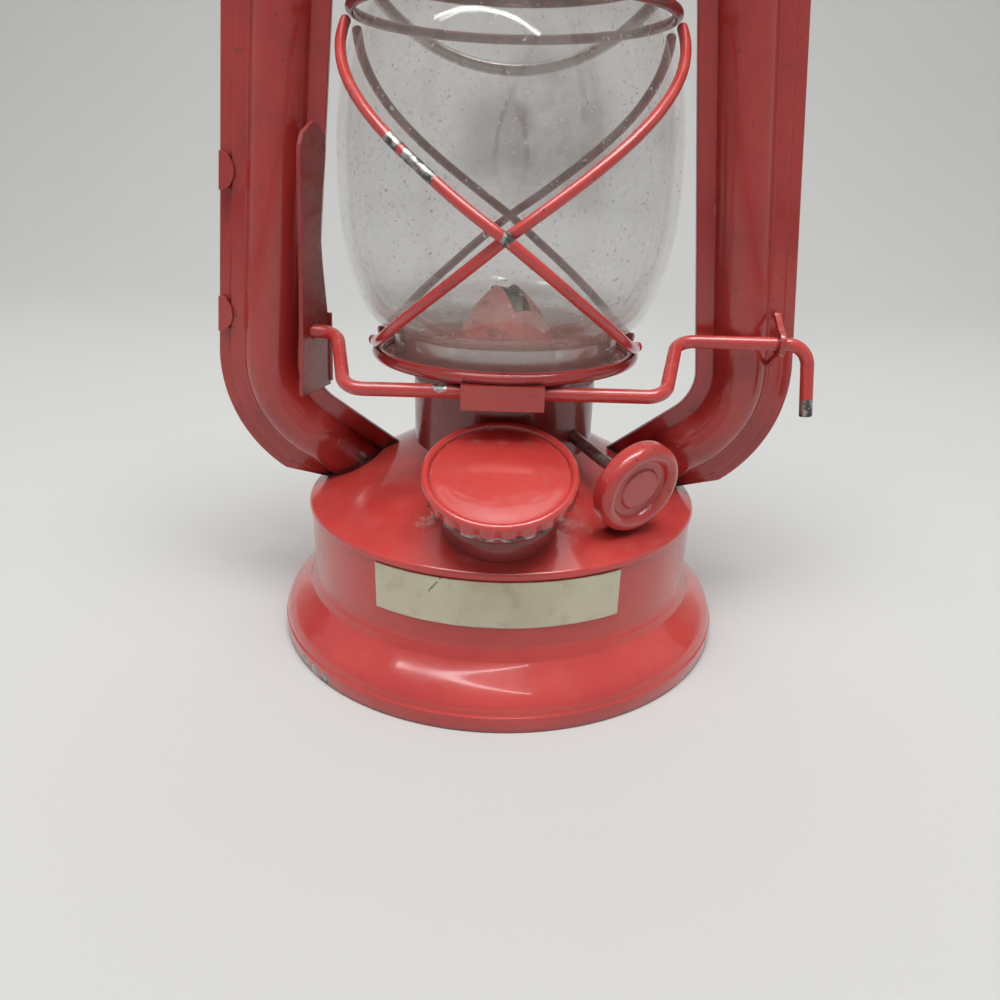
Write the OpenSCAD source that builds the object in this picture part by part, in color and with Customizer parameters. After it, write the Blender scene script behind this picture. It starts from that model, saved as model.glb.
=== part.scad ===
// Hurricane lantern with a raised globe, a wick burner and a carrying bail.
// Millimetres, +Z up, origin at the centre of the base, front towards -Y.

/* [Sheet metal] */
// Thickness of the pressed tin plate
sheet_t = 0.8; // [0.6:0.1:1.1]

/* [Tank] */
// Radius of the flared skirt at the base
base_r = 55; // [52:0.5:60]
// Radius of the straight tank wall
tank_r = 47; // [45:0.5:49]
// Height of the straight hem at the foot of the skirt
hem_h = 3.5; // [2.5:0.1:5]
// Height where the skirt runs into the wall
skirt_h = 16; // [14:0.5:17]
// Height of the shoulder above the base
shoulder_z = 33.06; // [32.5:0.02:36]
// Radius of the rounded shoulder
shoulder_round = 0.9; // [0.5:0.1:3]
// Slope of the tank top in degrees
top_slope = 28; // [25:0.5:30]
// Radius of the hole under the burner
top_hole_r = 19; // [17.5:0.25:19.5]
// Height of the bottom pan above the foot of the skirt
bottom_lift = 3; // [2:0.25:4]

/* [Filler] */
// Forward tilt of the filler in degrees
filler_tilt = 22; // [18:1:26]
// Overhang of the filler cap past its neck
cap_over = 3.5; // [3:0.25:4.5]
// Height of the filler neck above the tank top, on its axis
neck_h = 8.5; // [7:0.25:10]
// Outer radius of the filler cap, as a share of the tank top's width
cap_share = 0.63; // [0.56:0.01:0.66]
// Height of the cap's skirt
cap_skirt_h = 3; // [2.5:0.25:5.5]
// Thickness of the cork washer
gasket_t = 2; // [1:0.25:3]
// Number of scallops round the cap's skirt
cap_scallops = 24; // [16:1:32]

/* [Label] */
// Height of the label's lower edge above the base
label_z = 20.25; // [18:0.25:21]
// Height of the label
label_h = 10.5; // [7:0.25:10.5]
// Width of the label as an angle round the tank
label_angle = 66; // [40:1:90]
// Thickness of the label paper
label_t = 0.25; // [0.15:0.05:0.4]

/* [Air tubes] */
// Radius of the tube body
tube_r = 6.3; // [5.5:0.1:7]
// Gap between the globe and the tubes' inner seams, where the globe is widest
tube_gap = 4; // [3:0.25:6]
// Inward lean of the tubes in degrees
tube_lean = 6.4; // [5:0.2:7]
// Width of the outer seam
outer_seam = 6; // [5:0.25:7]
// Width of the inner seam
inner_seam = 4; // [3:0.25:5]
// Radius of the lower bend, on the tube axis
lower_bend_r = 20; // [18:0.5:22]
// Angle below the horizontal at which a tube meets the tank
tube_entry = 35; // [30:1:40]
// Distance from the lantern axis to where a tube meets the tank
tube_foot_r = 36; // [34:0.5:38]
// Width of the clinched seam tabs, along the tube
tab_w = 8; // [5:0.5:10]
// Height of the lower clinched tab above the globe plate
tab_low = 7; // [4:0.5:12]
// Spacing of the clinched tabs
tab_step = 31; // [24:1:38]

/* [Burner] */
// Radius of the burner collar
collar_r = 21.5; // [21:0.25:22.5]
// Height of the burner collar's top above the base
collar_top = 62; // [60:0.5:64]
// Radius of the burner cone
cone_r = 12.5; // [12:0.25:14]
// Height of the burner cone
cone_h = 22; // [20:0.5:26]
// Width of the flat wick
wick_w = 12; // [9:0.5:14]
// Thickness of the flat wick
wick_t = 2.2; // [1.6:0.1:2.8]
// Radius of the wick wheel
wheel_r = 4; // [3:0.1:4.4]
// Radius of the wick spindle
spindle_r = 1.4; // [1:0.1:1.8]
// Direction of the spindle, from +X towards the front, in degrees
spindle_az = 56; // [50:1:62]
// Dip of the spindle towards the knob, in degrees
spindle_dip = 12; // [10:0.5:13]
// Distance from the wick to the face of the knob, along the spindle
spindle_len = 46.5; // [45:0.5:50]
// Radius of the wick knob
knob_r = 10.2; // [8:0.2:10.4]
// Thickness of the wick knob
knob_t = 5; // [4:0.25:6]

/* [Globe] */
// Widest radius of the globe
globe_r = 37.3; // [36:0.1:38]
// Radius of the globe's foot
globe_foot_r = 26; // [25:0.25:28.5]
// Radius of the globe's mouth
globe_mouth_r = 26.5; // [25:0.25:27.5]
// Height of the globe
globe_h = 78; // [74:0.5:82]
// Thickness of the glass
globe_t = 1.8; // [1.4:0.1:2.4]

/* [Globe carriage] */
// Gap between the burner collar and the globe plate
plate_gap = 4.6; // [4.2:0.2:7]
// Radius of the globe plate, to the middle of its rolled rim
plate_r = 29.75; // [29:0.25:33]
// Radius of the rolled rim
rim_r = 1.4; // [1.2:0.1:2]
// Diameter of the guard wires
guard_d = 2.2; // [1.6:0.1:2.4]
// Height where the guard wires cross, above the globe's foot
guard_cross_h = 28.5; // [22:0.5:30]
// Distance of the guard ring below the globe's mouth
guard_ring_drop = 9; // [8:0.25:12]

/* [Lift] */
// Diameter of the lift wire
lift_d = 3; // [2.5:0.1:3.2]
// Height that the globe rises
lift_travel = 15; // [12:0.5:16]
// Distance of the crank's pivot line in front of the lantern axis
pivot_y = 8.6; // [8.4:0.1:9.5]
// Forward reach of the crank from its pivot line
lift_reach = 19; // [17.5:0.25:20]
// Width of the curl that holds the crank
curl_w = 17; // [12:0.5:20]

/* [Crown and hood] */
// Radius of the crown
crown_r = 29; // [28:0.25:30]
// Height of the crown's wall
crown_wall_h = 18; // [17:0.5:20]
// Height of the crown's roof above its wall
crown_roof_h = 11; // [10:0.5:14]
// Radius of the chimney
chimney_r = 16.5; // [15:0.25:17.5]
// Distance that the hood slides up by itself
hood_travel = 10; // [7:0.5:11]
// Radius of the hood's brim
hood_r = 26; // [24:0.5:29]
// Height of the hood above its brim
hood_h = 17; // [14:0.5:20]
// Number of vents round the chimney's top
vent_count = 8; // [6:1:10]
// Radius of the finger ring, to the middle of its wire
ring_r = 9; // [8:0.25:11]
// Diameter of the finger ring's wire
ring_d = 2; // [1.6:0.1:2.4]

/* [Spring] */
// Diameter of the spring wire
spring_d = 1.2; // [0.9:0.1:1.3]
// Number of turns in the spring
spring_turns = 8; // [6:1:10]

/* [Bail] */
// Diameter of the bail wire
bail_d = 3; // [2.5:0.1:3.4]
// Half width of the bail
bail_half_w = 41.5; // [40.5:0.5:44]
// Length of the bail's straight legs
bail_leg = 38; // [36:0.5:44]

/* [Hidden] */

$fn = 64;
red = [0.66, 0.13, 0.12];
steel = [0.72, 0.72, 0.70];
seat_gap = 0.05;   // between curved faces that are fixed together
run_gap = 0.1;     // radial clearance of a turning pin
slide_gap = 0.5;   // between curved faces that slide past each other
far = 400;         // longer than the lantern, for cutting shapes

// Tank top, with a lip where it is crimped over the wall
lip_out = 0.5;
lip_h = 0.7;
lip_r = tank_r + lip_out;
lip_z = shoulder_z - shoulder_round;
shoulder_end_r = lip_r - shoulder_round + shoulder_round * sin(top_slope);
shoulder_end_z = lip_z + shoulder_round * cos(top_slope);
function top_z(r) = shoulder_end_z + (shoulder_end_r - r) * tan(top_slope);
hem_break = 0.6;   // how far the bottom pan's rim stays above the foot

// Filler, measured along its own axis from the tank top
cap_r = cap_share * (tank_r - collar_r);
neck_r = cap_r - cap_over;
cap_seat_h = neck_h + seat_gap;
cap_under_h = cap_seat_h + gasket_t;
cap_low_h = cap_under_h + sheet_t - cap_skirt_h;
cap_air = 0.45;    // between the cap and the burner collar
filler_offset = collar_r + cap_air + cap_r * cos(filler_tilt) - cap_low_h * sin(filler_tilt);
cap_rim_h = 1;     // raised rim on the cap's top face
cap_rim_w = 1.8;
cap_groove_w = 0.7;   // flat between the rim and the dome
cap_dome_h = 1.3;
cap_steps = 8;
cap_well_gap = 0.4;
cap_bevel = 0.5;
scallop_r = 1.2;
scallop_out = 0.5; // of a scallop's centre outside the skirt

// Globe and its carriage
plate_z = collar_top + plate_gap;
rim_z = plate_z + rim_r;
globe_z = plate_z + sheet_t;
globe_top = globe_z + globe_h;
globe_eq_share = 0.44;   // where the globe is widest, as a share of its height
globe_eq_h = globe_h * globe_eq_share;
globe_foot_h = 6;        // straight foot that stands on the plate
globe_high_power = 2.6;
guard_power = 3;         // how the guard wires draw in below the widest height
function globe_at(h) =
    globe_r - (globe_r - globe_mouth_r) * pow((h - globe_eq_h) / (globe_h - globe_eq_h), globe_high_power);
function guard_in(h) = h < globe_eq_h
    ? globe_r - (globe_r - globe_foot_r) * pow((globe_eq_h - h) / globe_eq_h, guard_power)
    : globe_at(h);
guard_air = 0.5;   // between the glass and the guard wires
guard_r = guard_d / 2;
guard_ring_h = globe_h - guard_ring_drop;
guard_ring_r = globe_at(guard_ring_h) + guard_air + guard_r;

// Lift crank: it hangs below its pivot line at rest and rises past it
lift_r = lift_d / 2;
lift_air = 0.45;
lift_bar_z = plate_z - lift_air - lift_r;
lift_drop_share = 0.53;  // share of the travel that lies below the pivot line
lift_drop = lift_travel * lift_drop_share;
pivot_z = lift_bar_z + lift_drop;
lift_arm = norm([lift_reach, lift_drop]);
lift_bar_y = -pivot_y - lift_reach;
lift_swing_y = lift_arm - lift_reach;

// Crown and hood, stacked above the globe with room for both slides
rise = lift_travel + hood_travel;
rise_air = 1;
crown_z = globe_top + sheet_t + rise + rise_air;
crown_eaves = crown_z + crown_wall_h;
crown_top = crown_eaves + crown_roof_h;
collar_air = 4;    // between the chimney and the collar round it, for the spring
cap_collar_r = chimney_r + collar_air;
crown_bore_r = cap_collar_r + slide_gap;
collar_lap = 2;    // how far the collar reaches into the crown at rest
cap_collar_top = crown_z + collar_lap;
hood_air = 2;
brim_z = crown_top + hood_air;
brim_h = 5;
vent_h = brim_h;
chimney_top = brim_z + brim_h + vent_h;
hood_top = brim_z + brim_h + hood_h;
spring_r = (chimney_r + cap_collar_r - sheet_t) / 2;

// Tube path in the X-Z plane: run, lower bend, straight, upper bend, run
tube_top_z = crown_z + crown_wall_h / 2;
foot = [tube_foot_r, top_z(tube_foot_r)];
lean_t = tan(tube_lean);
strap_u = tube_r + inner_seam;
tube_span = globe_r + tube_gap + strap_u + (globe_z + globe_eq_h - plate_z) * lean_t;
function tube_x(z) = tube_span - (z - plate_z) * lean_t;
low_ref_x = tube_span - (lower_bend_r * sin(tube_lean) - plate_z) * lean_t - lower_bend_r * cos(tube_lean);
low_cz = ((low_ref_x + lower_bend_r * sin(tube_entry) - foot.x) * sin(tube_entry)
    + (lower_bend_r * cos(tube_entry) + foot.y) * cos(tube_entry))
    / (cos(tube_entry) + lean_t * sin(tube_entry));
low_cx = low_ref_x - low_cz * lean_t;
low_end = [low_cx + lower_bend_r * sin(tube_entry), low_cz - lower_bend_r * cos(tube_entry)];
stub_run = 2;      // straight end of a tube outside the crown
upper_bend_r = (tube_x(tube_top_z) - crown_r - stub_run) / (cos(tube_lean) - lean_t * (1 - sin(tube_lean)));
up_cz = tube_top_z - upper_bend_r;
up_start_z = up_cz + upper_bend_r * sin(tube_lean);
up_cx = tube_x(up_start_z) - upper_bend_r * cos(tube_lean);
seam_out = tube_r + outer_seam;
bevel_a = 16;      // where the round body meets the raised band of the outer seam, in degrees
band_h = 1.7;      // of the raised band above the seam plane
band_from = 0.05;  // where the band starts and ends, as shares of the outer seam's width
band_to = 0.5;
band_edge = 0.6;

// Burner
wick_gap = 0.4;
wick_tube_t = 0.7;
base_z = top_z(top_hole_r) + seat_gap;
base_t = 1;
part_air = 0.3;    // clearance of a part that drops into another
base_r_in = collar_r - sheet_t - part_air;
wick_sink = 2;     // of the wick's top below the top of the cone
mouth_sink = 8;    // of the wick tube's mouth below the top of the cone
wick_hang = 9;     // of the wick above the bottom pan
wick_top = collar_top + cone_h - wick_sink;
wick_low = bottom_lift + sheet_t + wick_hang;
tube_mouth = collar_top + cone_h - mouth_sink;
slot_gap = 1.2;
wheel_air = 0.15;
spindle_off = wick_t / 2 + wheel_air + wheel_r;
wheel_lift = 3;    // of the wheel above the burner base
spindle_z = base_z + base_t + wheel_r + wheel_lift;
wheel_w = 3;
wheel_teeth = 12;
tooth_r = 0.7;
lug_t = 2;
lug_air = wheel_r * sin(spindle_dip) + part_air;
lug_x = -wheel_w / 2 - lug_air - lug_t;
plate_hole_r = cone_r + slot_gap;
plate_vents = 16;
plate_vent_r = 1.4;

// Bail
bail_r = bail_d / 2;
ear_t = 1.4;
ear_air = 2.4;     // between an ear and the bail's leg
ear_x = bail_half_w - bail_r - ear_air;
ear_half_w = 4;
ear_h = 6;
ear_seat_z = up_cz + seat_gap + sqrt(pow(upper_bend_r + seam_out, 2) - pow(ear_x - ear_t / 2 - up_cx, 2));
ear_pivot_z = ear_seat_z + ear_h;
bail_reach = bail_leg + bail_half_w;
bail_rest_y = globe_r + bail_r + guard_d;
bail_tilt = asin(bail_rest_y / bail_reach);
stub_end = 1.5;    // how far the bail's ends stand past the ears
bail_stub = bail_half_w - ear_x + ear_t + stub_end;

// Wires as swept tubes
wire_sides = 12;
bend_steps = 5;

function unit(v) = v / norm(v);

function tangents(p) =
    [for (i = [0 : len(p) - 1]) unit(p[min(i + 1, len(p) - 1)] - p[max(i - 1, 0)])];

function across(t) = unit(cross(t, abs(t.z) < 0.8 ? [0, 0, 1] : [1, 0, 0]));

// Carries the first normal along the path without twist
function normals(t) = [
    for (i = 0, n = across(t[0]); i < len(t);
        i = i + 1, n = i < len(t) ? unit(n - (n * t[i]) * t[i]) : n) n];

// Rounds each inner corner of a path with an arc of the given radius
function rounded(p, r) = concat([p[0]],
    [for (i = [1 : len(p) - 2])
        let (a = unit(p[i - 1] - p[i]), b = unit(p[i + 1] - p[i]),
            half = acos(a * b) / 2,
            mid = p[i] + unit(a + b) * r / sin(half),
            from = p[i] + a * r / tan(half) - mid,
            to = p[i] + b * r / tan(half) - mid,
            turn = 180 - 2 * half)
        for (k = [0 : bend_steps])
            mid + (from * sin(turn * (1 - k / bend_steps)) + to * sin(turn * k / bend_steps)) / sin(turn)],
    [p[len(p) - 1]]);

module wire(p, r, sides = wire_sides) {
    t = tangents(p);
    n = normals(t);
    last = len(p) - 1;
    points = [for (i = [0 : last]) for (k = [0 : sides - 1])
        p[i] + r * (n[i] * cos(360 * k / sides) + cross(t[i], n[i]) * sin(360 * k / sides))];
    walls = [for (i = [0 : last - 1]) for (k = [0 : sides - 1])
        let (m = (k + 1) % sides, a = i * sides + k, b = i * sides + m)
        each [[a, a + sides, b], [b, a + sides, b + sides]]];
    starts = [for (k = [1 : sides - 2]) [0, k, k + 1]];
    ends = [for (k = [1 : sides - 2]) [last * sides, last * sides + k + 1, last * sides + k]];
    polyhedron(points, concat(walls, starts, ends));
}

// Tank
skirt_steps = 12;
shoulder_steps = 5;
hem_step = 0.4;    // of the skirt inside its hem
flare_z = hem_h + hem_step;

function tank_curve(t) = concat(
    [[base_r - t, 0], [base_r - t, hem_h]],
    [for (i = [0 : skirt_steps])
        [tank_r - t + (base_r - hem_step - tank_r) * (1 + cos(180 * i / skirt_steps)) / 2,
            flare_z + (skirt_h - flare_z) * i / skirt_steps]],
    [[tank_r - t, lip_z - lip_h - lip_out], [lip_r - t, lip_z - lip_h]],
    [for (i = [0 : shoulder_steps])
        let (a = (90 - top_slope) * i / shoulder_steps)
        [lip_r - shoulder_round + (shoulder_round - t) * cos(a), lip_z + (shoulder_round - t) * sin(a)]],
    [[top_hole_r, top_z(top_hole_r) - t / cos(top_slope)]]);

function backwards(p) = [for (i = [len(p) - 1 : -1 : 0]) p[i]];

module tank_body(grow) {
    rotate_extrude()
        polygon(concat([[0, 0]], tank_curve(-grow), [[0, top_z(top_hole_r) + grow / cos(top_slope)]]));
}

module filler_frame() {
    translate([0, -filler_offset, top_z(filler_offset)])
        rotate([filler_tilt, 0, 0])
            children();
}

module tank_shell() {
    color(red)
        difference() {
            rotate_extrude()
                polygon(concat(tank_curve(0), backwards(tank_curve(sheet_t))));
            filler_frame()
                cylinder(r = neck_r + seat_gap, h = far, center = true);
        }
}

module tank_bottom() {
    rim = base_r - sheet_t - seat_gap;
    top = min(bottom_lift + sheet_t, hem_h);
    color(red)
        rotate_extrude()
            polygon([[0, bottom_lift], [rim - sheet_t, bottom_lift], [rim - sheet_t, hem_break],
                [rim, hem_break], [rim, top], [0, top]]);
}

neck_depth = 9;    // below the tank top on the neck's axis, so that its wall meets the shell all round

// A ring pressed into the neck
neck_ring_h = 2.6;
neck_ring_w = 2;
neck_ring_in = 0.4;

module filler_neck() {
    bore = neck_r - sheet_t;
    color(red)
        filler_frame()
            rotate_extrude()
                polygon([[bore, -neck_depth], [neck_r, -neck_depth], [neck_r, neck_ring_h],
                    [neck_r - neck_ring_in, neck_ring_h + neck_ring_w / 2],
                    [neck_r, neck_ring_h + neck_ring_w], [neck_r, neck_h], [bore, neck_h]]);
}

module filler_cap() {
    top = cap_under_h + sheet_t;
    inner = neck_r + cap_well_gap;
    rim_half = cap_rim_w / 2;
    dome_r = cap_r - cap_rim_w - cap_groove_w;
    rim = [for (i = [0 : cap_steps])
        let (a = 180 * i / cap_steps)
        [cap_r - rim_half + rim_half * cos(a), top + cap_rim_h * sin(a)]];
    dome = [for (i = [0 : cap_steps])
        let (share = 1 - i / cap_steps)
        [dome_r * share, top + cap_dome_h * (1 - share * share)]];
    color(red)
        filler_frame()
            difference() {
                rotate_extrude()
                    polygon(concat([[0, cap_under_h], [inner, cap_under_h], [inner, top - cap_skirt_h],
                        [cap_r - cap_bevel, top - cap_skirt_h], [cap_r, top - cap_skirt_h + cap_bevel]],
                        rim, dome));
                for (i = [0 : cap_scallops - 1])
                    rotate(360 * i / cap_scallops)
                        translate([cap_r + scallop_out, 0, top - cap_skirt_h - 1])
                            cylinder(r = scallop_r, h = cap_skirt_h, $fn = 24);
            }
}

module cap_gasket() {
    color([0.62, 0.45, 0.28])
        filler_frame()
            translate([0, 0, cap_seat_h])
                cylinder(r = neck_r, h = gasket_t);
}

module fill_label() {
    color([0.88, 0.85, 0.75])
        rotate(-90 - label_angle / 2)
            rotate_extrude(angle = label_angle)
                translate([tank_r + seat_gap, label_z])
                    square([label_t, label_h]);
}

// Air tubes: each half is a band of tin plate, an outer and an inner chain of points, swept along the path.
// In a chain, u is away from the inside of the bends and v is away from the seam.
body_steps = 10;
low_steps = 8;
up_steps = 8;
foot_seam = 0.3;   // share of the outer seam's width left where a tube meets the tank
seat_a = asin(sheet_t / tube_r);

function body_angle(k) = 180 - seat_a - (180 - seat_a - bevel_a) * k / body_steps;

function outer_chain(seam) = concat(
    [[-tube_r - inner_seam, sheet_t]],
    [for (k = [0 : body_steps]) tube_r * [cos(body_angle(k)), sin(body_angle(k))]],
    [[tube_r + seam * band_from, band_h], [tube_r + seam * band_to, band_h],
        [tube_r + seam * band_edge, sheet_t], [tube_r + seam, sheet_t]]);

function inner_chain(seam) = concat(
    [[-tube_r - inner_seam, 0]],
    [for (k = [0 : body_steps])
        let (a = 180 - 180 * k / body_steps)
        (tube_r - sheet_t) * [cos(a), sin(a)]],
    [for (share = [band_from, band_to, band_edge, 1]) [tube_r + seam * share, 0]]);

// Where a line along the lower run from [x, y, z] meets the cone of the tank top
function run_to_tank(x, y, z) =
    let (s = sin(tube_entry), c = cos(tube_entry), q = tan(top_slope), d = top_z(0) + 2 * seat_gap - z,
        qa = s * s - q * q * c * c,
        qb = 2 * (s * d + q * q * x * c),
        qc = d * d - q * q * (x * x + y * y))
    (-qb + sqrt(qb * qb - 4 * qa * qc)) / (2 * qa);

function on_tank(p) =
    let (t = run_to_tank(p.x, p.y, p.z))
    [p.x - t * cos(tube_entry), p.y, p.z - t * sin(tube_entry)];

function on_crown(p) = [sqrt(pow(crown_r + 2 * seat_gap, 2) - p.y * p.y), p.y, p.z];

// A chain as a ring in space: at a point on the path whose outward direction is at angle a
function placed(chain, at, a, side) =
    [for (q = chain) [at.x + q.x * cos(a), -side * q.y, at.y + q.x * sin(a)]];

function bend_point(c, r, a) = [c.x + r * cos(a), c.y + r * sin(a)];

function tube_rings(side, seam_chain_inner) =
    let (chain = function(seam) seam_chain_inner ? inner_chain(seam) : outer_chain(seam),
        low_a = tube_entry - 90)
    concat(
        [[for (q = placed(chain(outer_seam * foot_seam), low_end, low_a, side)) on_tank(q)]],
        [for (i = [0 : low_steps])
            let (a = low_a + (90 - tube_entry + tube_lean) * i / low_steps)
            placed(chain(outer_seam), bend_point([low_cx, low_cz], lower_bend_r, a), a, side)],
        [for (i = [0 : up_steps])
            let (a = tube_lean + (90 - tube_lean) * i / up_steps)
            placed(chain(outer_seam), bend_point([up_cx, up_cz], upper_bend_r, a), a, side)],
        [[for (q = placed(chain(outer_seam), [up_cx, tube_top_z], 90, side)) on_crown(q)]]);

module tube_half(side) {
    outer = tube_rings(side, false);
    inner = tube_rings(side, true);
    n = len(outer[0]);
    last = len(outer) - 1;
    points = [for (i = [0 : last]) each concat(outer[i], backwards(inner[i]))];
    count = 2 * n;
    quads = concat(
        [for (i = [0 : last - 1]) for (k = [0 : count - 1])
            let (m = (k + 1) % count)
            [i * count + k, i * count + m, (i + 1) * count + m, (i + 1) * count + k]],
        [for (k = [0 : n - 2]) [k, count - 1 - k, count - 2 - k, k + 1]],
        [for (k = [0 : n - 2])
            let (first = last * count)
            [first + k, first + k + 1, first + count - 2 - k, first + count - 1 - k]]);
    faces = [for (q = quads) each [[q[0], q[1], q[2]], [q[0], q[2], q[3]]]];
    polyhedron(points, side > 0 ? faces : [for (f = faces) backwards(f)]);
}

// Round-ended clips on the outer seams: on the front of the left tube and the back of the right tube
right_clips_up = 12;   // so that the right clips clear the lift staple
clip_t = 0.9;
clip_edge = 0.4;   // from the seam's edge to a clip
clip_w = 3.2;
clip_foot_w = outer_seam * (1 - band_edge) - 2 * clip_edge;

function clip_z(side, i) = tab_low + i * tab_step + (side > 0 ? right_clips_up : 0);

// A clip stands on the seam's flat edge and bridges the raised band
module seam_clip() {
    rise = band_h - sheet_t;
    difference() {
        linear_extrude(rise + clip_t)
            intersection() {
                scale([clip_w, tab_w / 2])
                    circle(1, $fn = 48);
                translate([-clip_w, -tab_w])
                    square([clip_w, 2 * tab_w]);
            }
        translate([-clip_foot_w - far, -tab_w, rise - far])
            cube([far, 2 * tab_w, far]);
    }
}

module seam_clips() {
    color(red)
        for (side = [-1, 1])
            for (i = [0 : 1])
                mirror([side < 0 ? 1 : 0, 0, 0])
                    translate([tube_span, side * (sheet_t + seat_gap), plate_z])
                        rotate([0, -tube_lean, 0])
                            translate([seam_out - clip_edge, 0, clip_z(side, i)])
                                rotate([side < 0 ? 90 : -90, 0, 0])
                                    seam_clip();
}

module left_tube_front() {
    color(red)
        mirror([1, 0, 0])
            tube_half(1);
}

module left_tube_rear() {
    color(red)
        mirror([1, 0, 0])
            tube_half(-1);
}

module right_tube_front() {
    color(red)
        tube_half(1);
}

module right_tube_rear() {
    color(red)
        tube_half(-1);
}

// Lift gear: a strap along the left tube's inner seam holds one end of the lift wire
bracket_t = 1;
strap_turn = 16;   // of the strap's face towards the front, in degrees
strap_lean = 2.4;  // of the strap in towards its top, in degrees
strap_in = 3.9;    // from the seam's edge to the strap, at the globe plate
strap_low = -8;    // from the globe plate, along the strap
strap_high = 49;
strap_w = 13;      // widest, at the foot
strap_top_w = 11.5;
strap_waist = 3.4; // how far the strap's rear edge draws in
waist_power = 1.4; // above 1, the waist lies in the upper half
strap_head = 0.88; // where the rounded head starts, as a share of the strap's height
head_end = 1.001;
head_round = 5;    // how far the head draws in on the strap's rear edge
strap_steps = 24;
foot_tab_w = 2;    // of the strap's tab on the seam
tab_up = 1;        // of the tab above the strap's foot
tab_in = 0.1;      // of the strap's rear edge in the tab
strap_x = tube_span - strap_u - strap_in;
bracket_x = strap_x - (pivot_z - plate_z) * tan(strap_lean) + (pivot_y - sheet_t) * tan(strap_turn);
pin_hole_r = lift_r + run_gap;

function strap_end(share) = share < strap_head
    ? 1 : sqrt(1 - pow((share - strap_head) / (head_end - strap_head), 2));

// Front edge of the strap at a share of its height: a wide foot and a rounded head
function strap_front(share) =
    head_round + (strap_top_w - head_round + (strap_w - strap_top_w) * pow(1 - share, 2)) * strap_end(share);

// Rear edge: straight at the foot, with a waist and a rounded head
function strap_rear(share) =
    strap_waist * pow(sin(180 * pow(share, waist_power)), 2) + head_round * (1 - strap_end(share));

module strap_tab(low, wide) {
    translate([-wide, -sheet_t, low])
        cube([wide + bracket_t / 2, sheet_t, 2 * tab_w]);
}

module lift_bracket() {
    shares = [for (i = [0 : strap_steps]) i / strap_steps];
    tall = strap_high - strap_low;
    front = [for (share = shares) [strap_front(share), strap_low + tall * share]];
    rear = [for (share = shares) [strap_rear(share), strap_low + tall * share]];
    color(red)
        difference() {
            translate([-strap_x, -sheet_t - seat_gap, plate_z])
                rotate([0, strap_lean, 0]) {
                    translate([0, -bracket_t * sin(strap_turn) - tab_in, 0])
                        rotate([0, 0, -strap_turn])
                            rotate([90, 0, -90])
                                linear_extrude(bracket_t)
                                    polygon(concat(front, backwards(rear)));
                    strap_tab(strap_low + tab_up, strap_in + foot_tab_w);
                }
            translate([0, -pivot_y, pivot_z])
                rotate([0, 90, 0])
                    cylinder(r = pin_hole_r, h = far, center = true);
        }
}

// A staple of bent wire that the lift wire turns in
staple_in = 0.2;   // of the staple inside the tube's widest line
staple_x = tube_x(pivot_z) + tube_r - staple_in;
staple_w = 1.3;
staple_t = 1.3;
staple_half = 5.5; // from the pivot to the end of a leg
staple_seat = 3.4; // from the seam to the legs' ends, on the round of the tube

module staple_leg(hand) {
    hull() {
        translate([hand * (pin_hole_r + staple_t / 2), pivot_y])
            circle(d = staple_t, $fn = 24);
        translate([hand * staple_half, staple_seat])
            circle(d = staple_t, $fn = 24);
    }
}

module lift_staple() {
    color(red)
        translate([staple_x, 0, pivot_z])
            rotate([0, 90, 0])
                linear_extrude(staple_w)
                    mirror([0, 1])
                        difference() {
                            union() {
                                staple_leg(1);
                                staple_leg(-1);
                                translate([0, pivot_y])
                                    circle(pin_hole_r + staple_t);
                            }
                            translate([0, pivot_y])
                                circle(pin_hole_r);
                            translate([-staple_half - staple_t, staple_seat - far])
                                square([2 * (staple_half + staple_t), far]);
                        }
}

lift_bend = 5;
handle_len = 16;
handle_out = 5.6;  // from the staple to the handle
handle_splay = [1.5, -2];
handle_x = staple_x + staple_w + handle_out;
bar_left_x = -33;
bar_right_x = 33.5;
wire_end = 2.5;    // how far the wire's end stands past the strap
elbow_out = 4.5;
elbow_left_x = -bracket_x + bracket_t + elbow_out;
elbow_right_x = 38.5;

module lift_wire() {
    path = [[-bracket_x - wire_end, -pivot_y, pivot_z], [elbow_left_x, -pivot_y, pivot_z],
        [bar_left_x, lift_bar_y, lift_bar_z], [bar_right_x, lift_bar_y, lift_bar_z],
        [elbow_right_x, -pivot_y, pivot_z], [handle_x, -pivot_y, pivot_z],
        [handle_x + handle_splay.x, -pivot_y + handle_splay.y, pivot_z - handle_len]];
    color(red)
        wire(rounded(path, lift_bend), lift_r);
}

// Burner
module wick_frame() {
    rotate(-spindle_az)
        children();
}

module spindle_frame() {
    wick_frame()
        translate([0, spindle_off, spindle_z])
            rotate([0, spindle_dip, 0])
                children();
}

module spindle_bore() {
    spindle_frame()
        rotate([0, 90, 0])
            cylinder(r = spindle_r + run_gap, h = 2 * spindle_len, center = true);
}

module burner_base() {
    color(steel)
        difference() {
            union() {
                translate([0, 0, base_z])
                    cylinder(r = base_r_in, h = base_t);
                wick_frame()
                    translate([lug_x, spindle_off - wheel_r / 2, base_z])
                        cube([lug_t, wheel_r, spindle_z - base_z + wheel_r]);
            }
            wick_frame()
                translate([-wick_w / 2 - wick_gap, -wick_t / 2 - wick_gap, 0])
                    cube([wick_w + 2 * wick_gap, wick_t + 2 * wick_gap, far]);
            spindle_bore();
        }
}

module burner_collar() {
    color(red)
        difference() {
            cylinder(r = collar_r, h = collar_top);
            translate([0, 0, -1])
                cylinder(r = collar_r - sheet_t, h = collar_top - sheet_t + 1);
            cylinder(r = cone_r - sheet_t, h = far);
            tank_body(seat_gap);
            spindle_bore();
        }
}

cone_flange = 3;
dome_steps = 12;
dome_power = 2.2;  // how full the foot of the cone is
point_power = 0.8; // how pointed its top is

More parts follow.
